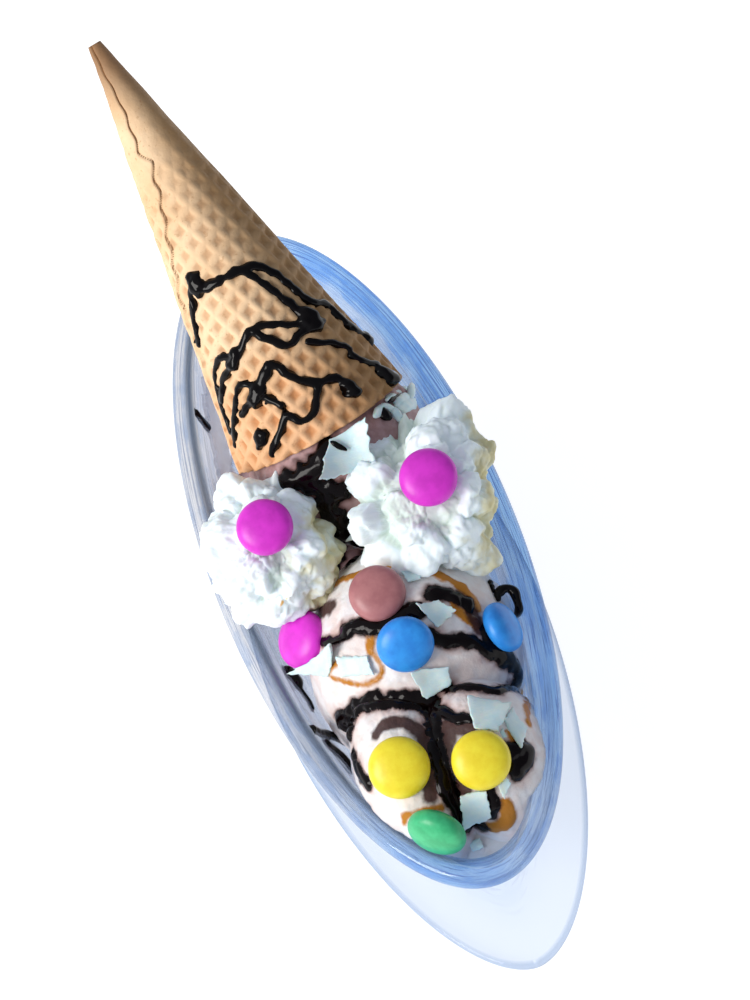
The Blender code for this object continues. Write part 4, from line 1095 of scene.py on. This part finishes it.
def make_drops(drops, seed):
    """Drops: lumpy ellipsoids, their long axis between two ends, half sunk in what carries them."""
    pieces = []
    for number, (carrier, *pixels, half_width) in enumerate(drops):
        if carrier in FLAKES:
            centre, normal = FLAKES[carrier][:2]
            normal = unit(np.array(normal))
            ends = [on_plane(centre, normal, *pixel) + 0.7 * normal for pixel in pixels]
        else:
            ends = [seen_on([carrier], *pixel) for pixel in pixels]
            ends = [end + 0.4 * (end - np.array(SCOOPS[carrier][0])) / 23.0 for end in ends]
            normal = outward_at(carrier, np.mean(ends, axis=0))[0]
        run = ends[1] - ends[0]
        length = np.linalg.norm(run)
        side = unit(np.cross(normal, run / length))
        axes = np.stack([run / length, side, np.cross(run / length, side)])
        sizes = np.array([0.5 * length, half_width, 0.7 * half_width])
        ball = ball_directions(16, 28) * sizes
        ball = ball * (1.0 + 0.16 * lumps(ball, 1.6, seed + number))[..., None]
        pieces.append(closed_tube(np.mean(ends, axis=0) + ball @ axes))
    return joined(pieces)


def first_met(scoops, x, y):
    """Where the camera's line through a pixel first meets the bowl's wall or one of the balls."""
    start = camera_line(x, y)[0]
    places = [seen_on_wall(x, y)]
    for scoop in scoops:
        place = seen_on([scoop], x, y)
        if abs(outward_at(scoop, place)[1]) < 1e-6:
            places.append(place)
    return min(places, key=lambda place: np.linalg.norm(place - start))


def make_strings():
    """The loop and the dash of sauce: round tubes along a smooth path, thinner at their ends."""
    ahead = camera_axes()[2]
    pieces = []
    for pixels, radius in ((LOOP, LOOP_RADIUS), (DASH, DASH_RADIUS)):
        lines = [camera_line(*pixel) for pixel in pixels]
        places = [first_met(["vanilla_centre"], *pixel) for pixel in pixels]
        depths = np.array([np.linalg.norm(place - line[0]) for place, line in zip(places, lines)])
        for _ in range(12):
            depths[1:-1] = np.minimum(depths[1:-1], 0.5 * (depths[:-2] + depths[2:]))
        path = eased([line[0] + (depth - 0.5 * radius) * line[1] for depth, line in zip(depths, lines)], 8)
        way = unit(np.gradient(path, axis=0))
        side = unit(np.cross(way, ahead))
        above = np.cross(side, way)
        part = np.linspace(-1.0, 1.0, len(path))[:, None]
        thick = radius * (1.0 - 0.6 * part ** 6) * (1.0 + 0.12 * np.sin(9.0 * part))
        turn = np.linspace(0.0, math.tau, 16, endpoint=False)[None, :]
        around = np.cos(turn)[..., None] * side[:, None] + np.sin(turn)[..., None] * above[:, None]
        pieces.append(closed_tube((path[:, None] + thick[..., None] * around)[:, ::-1]))
    return joined(pieces)


def wall_point(angle, height, lift):
    """A place on the bowl's inner wall at an angle round the oval, moved into the bowl by the lift."""
    inset = bowl_inset(height)
    x = (RIM_HALF_WIDTH - inset) * np.cos(angle)
    y = (RIM_HALF_LENGTH - inset) * np.sin(angle)
    inward = unit(np.stack([-np.cos(angle), -0.4 * np.sin(angle), 0.45 + 0.0 * angle], axis=-1))
    return np.stack([x, y, height + 0.0 * x], axis=-1) + lift[..., None] * inward


def seen_on_wall(x, y):
    """Where the camera's line through a pixel passes from the bowl's inside into its wall."""
    start, direction = camera_line(x, y)
    line = start + np.linspace(DISTANCE - SEARCH, DISTANCE + SEARCH, SEARCH_STEPS)[:, None] * direction
    inset = bowl_inset(np.clip(line[:, 2], FLOOR_HEIGHT, RIM_HEIGHT))
    ratio = np.hypot(line[:, 0] / (RIM_HALF_WIDTH - inset), line[:, 1] / (RIM_HALF_LENGTH - inset))
    return line[np.argmax((line[:, 2] < RIM_HEIGHT) & (ratio > 1.0))]


def on_wall(routes, fullness, spare):
    """Drips or film on the inner wall: beads over their distance field, a sheet that dips into the glass."""
    angle = np.linspace(0.0, math.tau, WALL_COLUMNS, endpoint=False)[None, :]
    height = np.linspace(WALL_TOP, WALL_BOTTOM, WALL_ROWS)[:, None]
    angle, height = np.broadcast_arrays(angle, height)
    place = wall_point(angle, height, 0.0 * angle)
    paths = [(width, np.array([seen_on_wall(*pixel) for pixel in route])) for width, route in routes]
    low, high = (pick(np.concatenate([path for _, path in paths]), axis=0) for pick in (np.min, np.max))
    near = np.all((place > low - 8.0) & (place < high + 8.0), axis=-1)
    edge, width = np.full(place.shape[:2], -9.0), np.ones(place.shape[:2])
    edge[near], width[near] = sauce_field(place[near], paths, 0.4, 3.0, 3.5)
    lift = bead_height(edge, width, fullness) - 0.1 + 1.5 * np.minimum(edge, 0.0)
    return bead_sheet(lambda rise: wall_point(angle, height, rise), lift, -spare, 0.1)


def run_together(balls, grain_depth):
    """Balls with their toppings that run into each other, drawn in to the glass, from names and grids."""
    mounds, marks = [], {}
    for scoop, rows, columns in balls:
        points, own = topped(*scoop_surface(scoop, rows, columns, grain_depth))
        mounds.append(closed_tube(into_bowl(points, 0.1)))
        for key, values in own.items():
            marks.setdefault(key, []).append(with_ends(values))
    return joined(mounds), {key: np.concatenate(values) for key, values in marks.items()}


def make_window():
    """An area light at the left, turned to the middle of the sundae."""
    data = bpy.data.lights.new("window", "AREA")
    data.energy = WINDOW_POWER
    data.size = WINDOW_SIZE
    data.color = WINDOW_COLOUR
    lamp = bpy.data.objects.new("window", data)
    lamp.location = WINDOW_PLACE * MM
    lamp.rotation_euler = (WINDOW_TARGET - WINDOW_PLACE).to_track_quat("-Z", "Y").to_euler()
    bpy.context.scene.collection.objects.link(lamp)


def make_camera():
    """The camera that sees the sundae as the picture does."""
    right, up, ahead = camera_axes()
    data = bpy.data.cameras.new("camera")
    data.lens = LENS
    data.sensor_width = SENSOR
    data.sensor_fit = "AUTO"
    data.clip_start = 0.05
    data.clip_end = 20.0
    camera = bpy.data.objects.new("camera", data)
    matrix = Matrix(np.stack([right, up, -ahead], axis=1).tolist()).to_4x4()
    matrix.translation = Vector((AIM - DISTANCE * ahead) * MM)
    camera.matrix_world = matrix
    bpy.context.scene.collection.objects.link(camera)
    bpy.context.scene.camera = camera


def make_studio():
    """A pale floor, and surroundings that are pale on the left and dim on the right."""
    across = FLOOR_HALF_SIZE * np.linspace(-1.0, 1.0, 9)
    x, y = np.meshgrid(across, across, indexing="ij")
    mesh = bpy.data.meshes.new("floor")
    points = np.stack([x, y, np.full_like(x, -0.2)], axis=-1).reshape(-1, 3) * MM
    mesh.from_pydata(points.tolist(), [], grid_quads(9, 9, closed=False)[:, ::-1].tolist())
    paint = Finish("pale_floor", Roughness=0.9, Specular_IOR_Level=0.1, Emission_Strength=0.84)
    paint.shader.inputs["Emission Color"].default_value = (1.0, 1.0, 1.0, 1.0)
    paint.colour(paint.mix(paint.grain(60.0), (0.46, 0.46, 0.46), (0.48, 0.48, 0.48)))
    mesh.materials.append(paint.material)
    floor = bpy.data.objects.new("floor", mesh)
    bpy.context.scene.collection.objects.link(floor)
    world = bpy.data.worlds.new("studio")
    bpy.context.scene.world = world
    world.use_nodes = True
    nodes, links = world.node_tree.nodes, world.node_tree.links
    place = nodes.new("ShaderNodeTexCoord")
    parts = nodes.new("ShaderNodeSeparateXYZ")
    side = nodes.new("ShaderNodeMapRange")
    side.inputs["From Min"].default_value = 0.9
    side.inputs["From Max"].default_value = -0.9
    tint = nodes.new("ShaderNodeMix")
    tint.data_type = "RGBA"
    tint.inputs[6].default_value = RIGHT_SKY
    tint.inputs[7].default_value = LEFT_SKY
    links.new(place.outputs["Generated"], parts.inputs[0])
    links.new(parts.outputs[0], side.inputs["Value"])
    links.new(side.outputs["Result"], tint.inputs[0])
    links.new(tint.outputs[2], nodes["Background"].inputs["Color"])
    nodes["Background"].inputs["Strength"].default_value = 0.85
    bpy.context.scene.view_settings.view_transform = "Standard"


def build():
    vanilla = ice_cream_finish("vanilla_ice_cream", *VANILLA_COLOURS)
    chocolate = ice_cream_finish("chocolate_ice_cream", *CHOCOLATE_COLOURS)
    sauce = sauce_finish()
    whipped = whipped_finish()
    flakes = flake_finish()
    film = film_finish()

    shape, marks = make_dish()
    make_piece("glass", shape, glass_finish(), ["glass_dish"], marks)
    wafer_shape, wafer_marks = make_wafer()
    make_piece("wafer", wafer_shape, wafer_finish(), ["waffle_cone"], wafer_marks)
    make_piece("cone_drizzle", make_drizzle(), sauce, ["waffle_cone"])

    vanilla_grids = {"vanilla_centre": (170, 300), "vanilla_left": (130, 230), "vanilla_right": (130, 230)}
    for scoop, grid in vanilla_grids.items():
        shape, marks = vanilla_scoop(scoop, *grid)
        make_piece(scoop + "_scoop", shape, vanilla, [scoop], marks)
    shape, marks = run_together((("chocolate_ball", 140, 240), ("chocolate_base", 90, 200)), 0.5)
    make_piece("chocolate_scoops", shape, chocolate, ["chocolate_scoop"], marks)
    shape, marks = run_together((("melt_wide", 110, 230), ("melt_near", 110, 230)), 0.1)
    make_piece("melted_pool", shape, vanilla, ["melted_ice_cream"], marks)

    for side, rows, columns, seed in (("left", 150, 270, 21), ("right", 170, 320, 31)):
        points, marks = cream_surface("cream_" + side, rows, columns, seed)
        routes = poured(CREAM_CARAMEL, WHOLE_PICTURE, ["cream_" + side])
        marks["caramel"] = np.clip(sauce_field(points, routes)[0], -2.0, 1.0)
        marks = {key: with_ends(values) for key, values in marks.items()}
        make_piece("cream_" + side, closed_tube(points), whipped, ["whipped_cream_" + side], marks)

    coats = {
        "magenta": candy_finish("magenta_coat", (0.72, 0.035, 0.60), (0.60, 0.025, 0.50)),
        "mauve": candy_finish("mauve_coat", (0.44, 0.175, 0.175), (0.36, 0.13, 0.135)),
        "blue": candy_finish("blue_coat", (0.03, 0.30, 0.80), (0.02, 0.22, 0.68)),
        "yellow": candy_finish("yellow_coat", (0.86, 0.72, 0.035), (0.80, 0.62, 0.02)),
        "green": candy_finish("green_coat", (0.05, 0.48, 0.20), (0.03, 0.36, 0.14)),
    }
    for number, (name, (centre, normal, size, colour)) in enumerate(CANDIES.items()):
        shape = make_candy(centre, normal, size, 40 + number)
        make_piece(name + "_coat", shape, coats[colour], [name])
    for number, (name, placing) in enumerate(FLAKES.items()):
        shape = make_flake(*placing, FLAKE_THICKNESS, 60 + 2 * number)
        make_piece(name + "_shaving", shape, flakes, [name])
    make_piece("white_crumbs", make_crumbs(), flakes)
    make_piece("melted_drops", make_drops(WHITE_DROPS, 7), flakes)
    make_piece("sauce_drops", make_drops(DARK_DROPS, 17), sauce)
    make_piece("sauce_strings", make_strings(), sauce)
    make_piece("wall_drips", on_wall(WALL_DRIPS, 0.75, 0.5), sauce)
    make_piece("wall_film", on_wall(WALL_FILM, 0.10, 0.9), film)


make_camera()
make_studio()
make_window()
build()
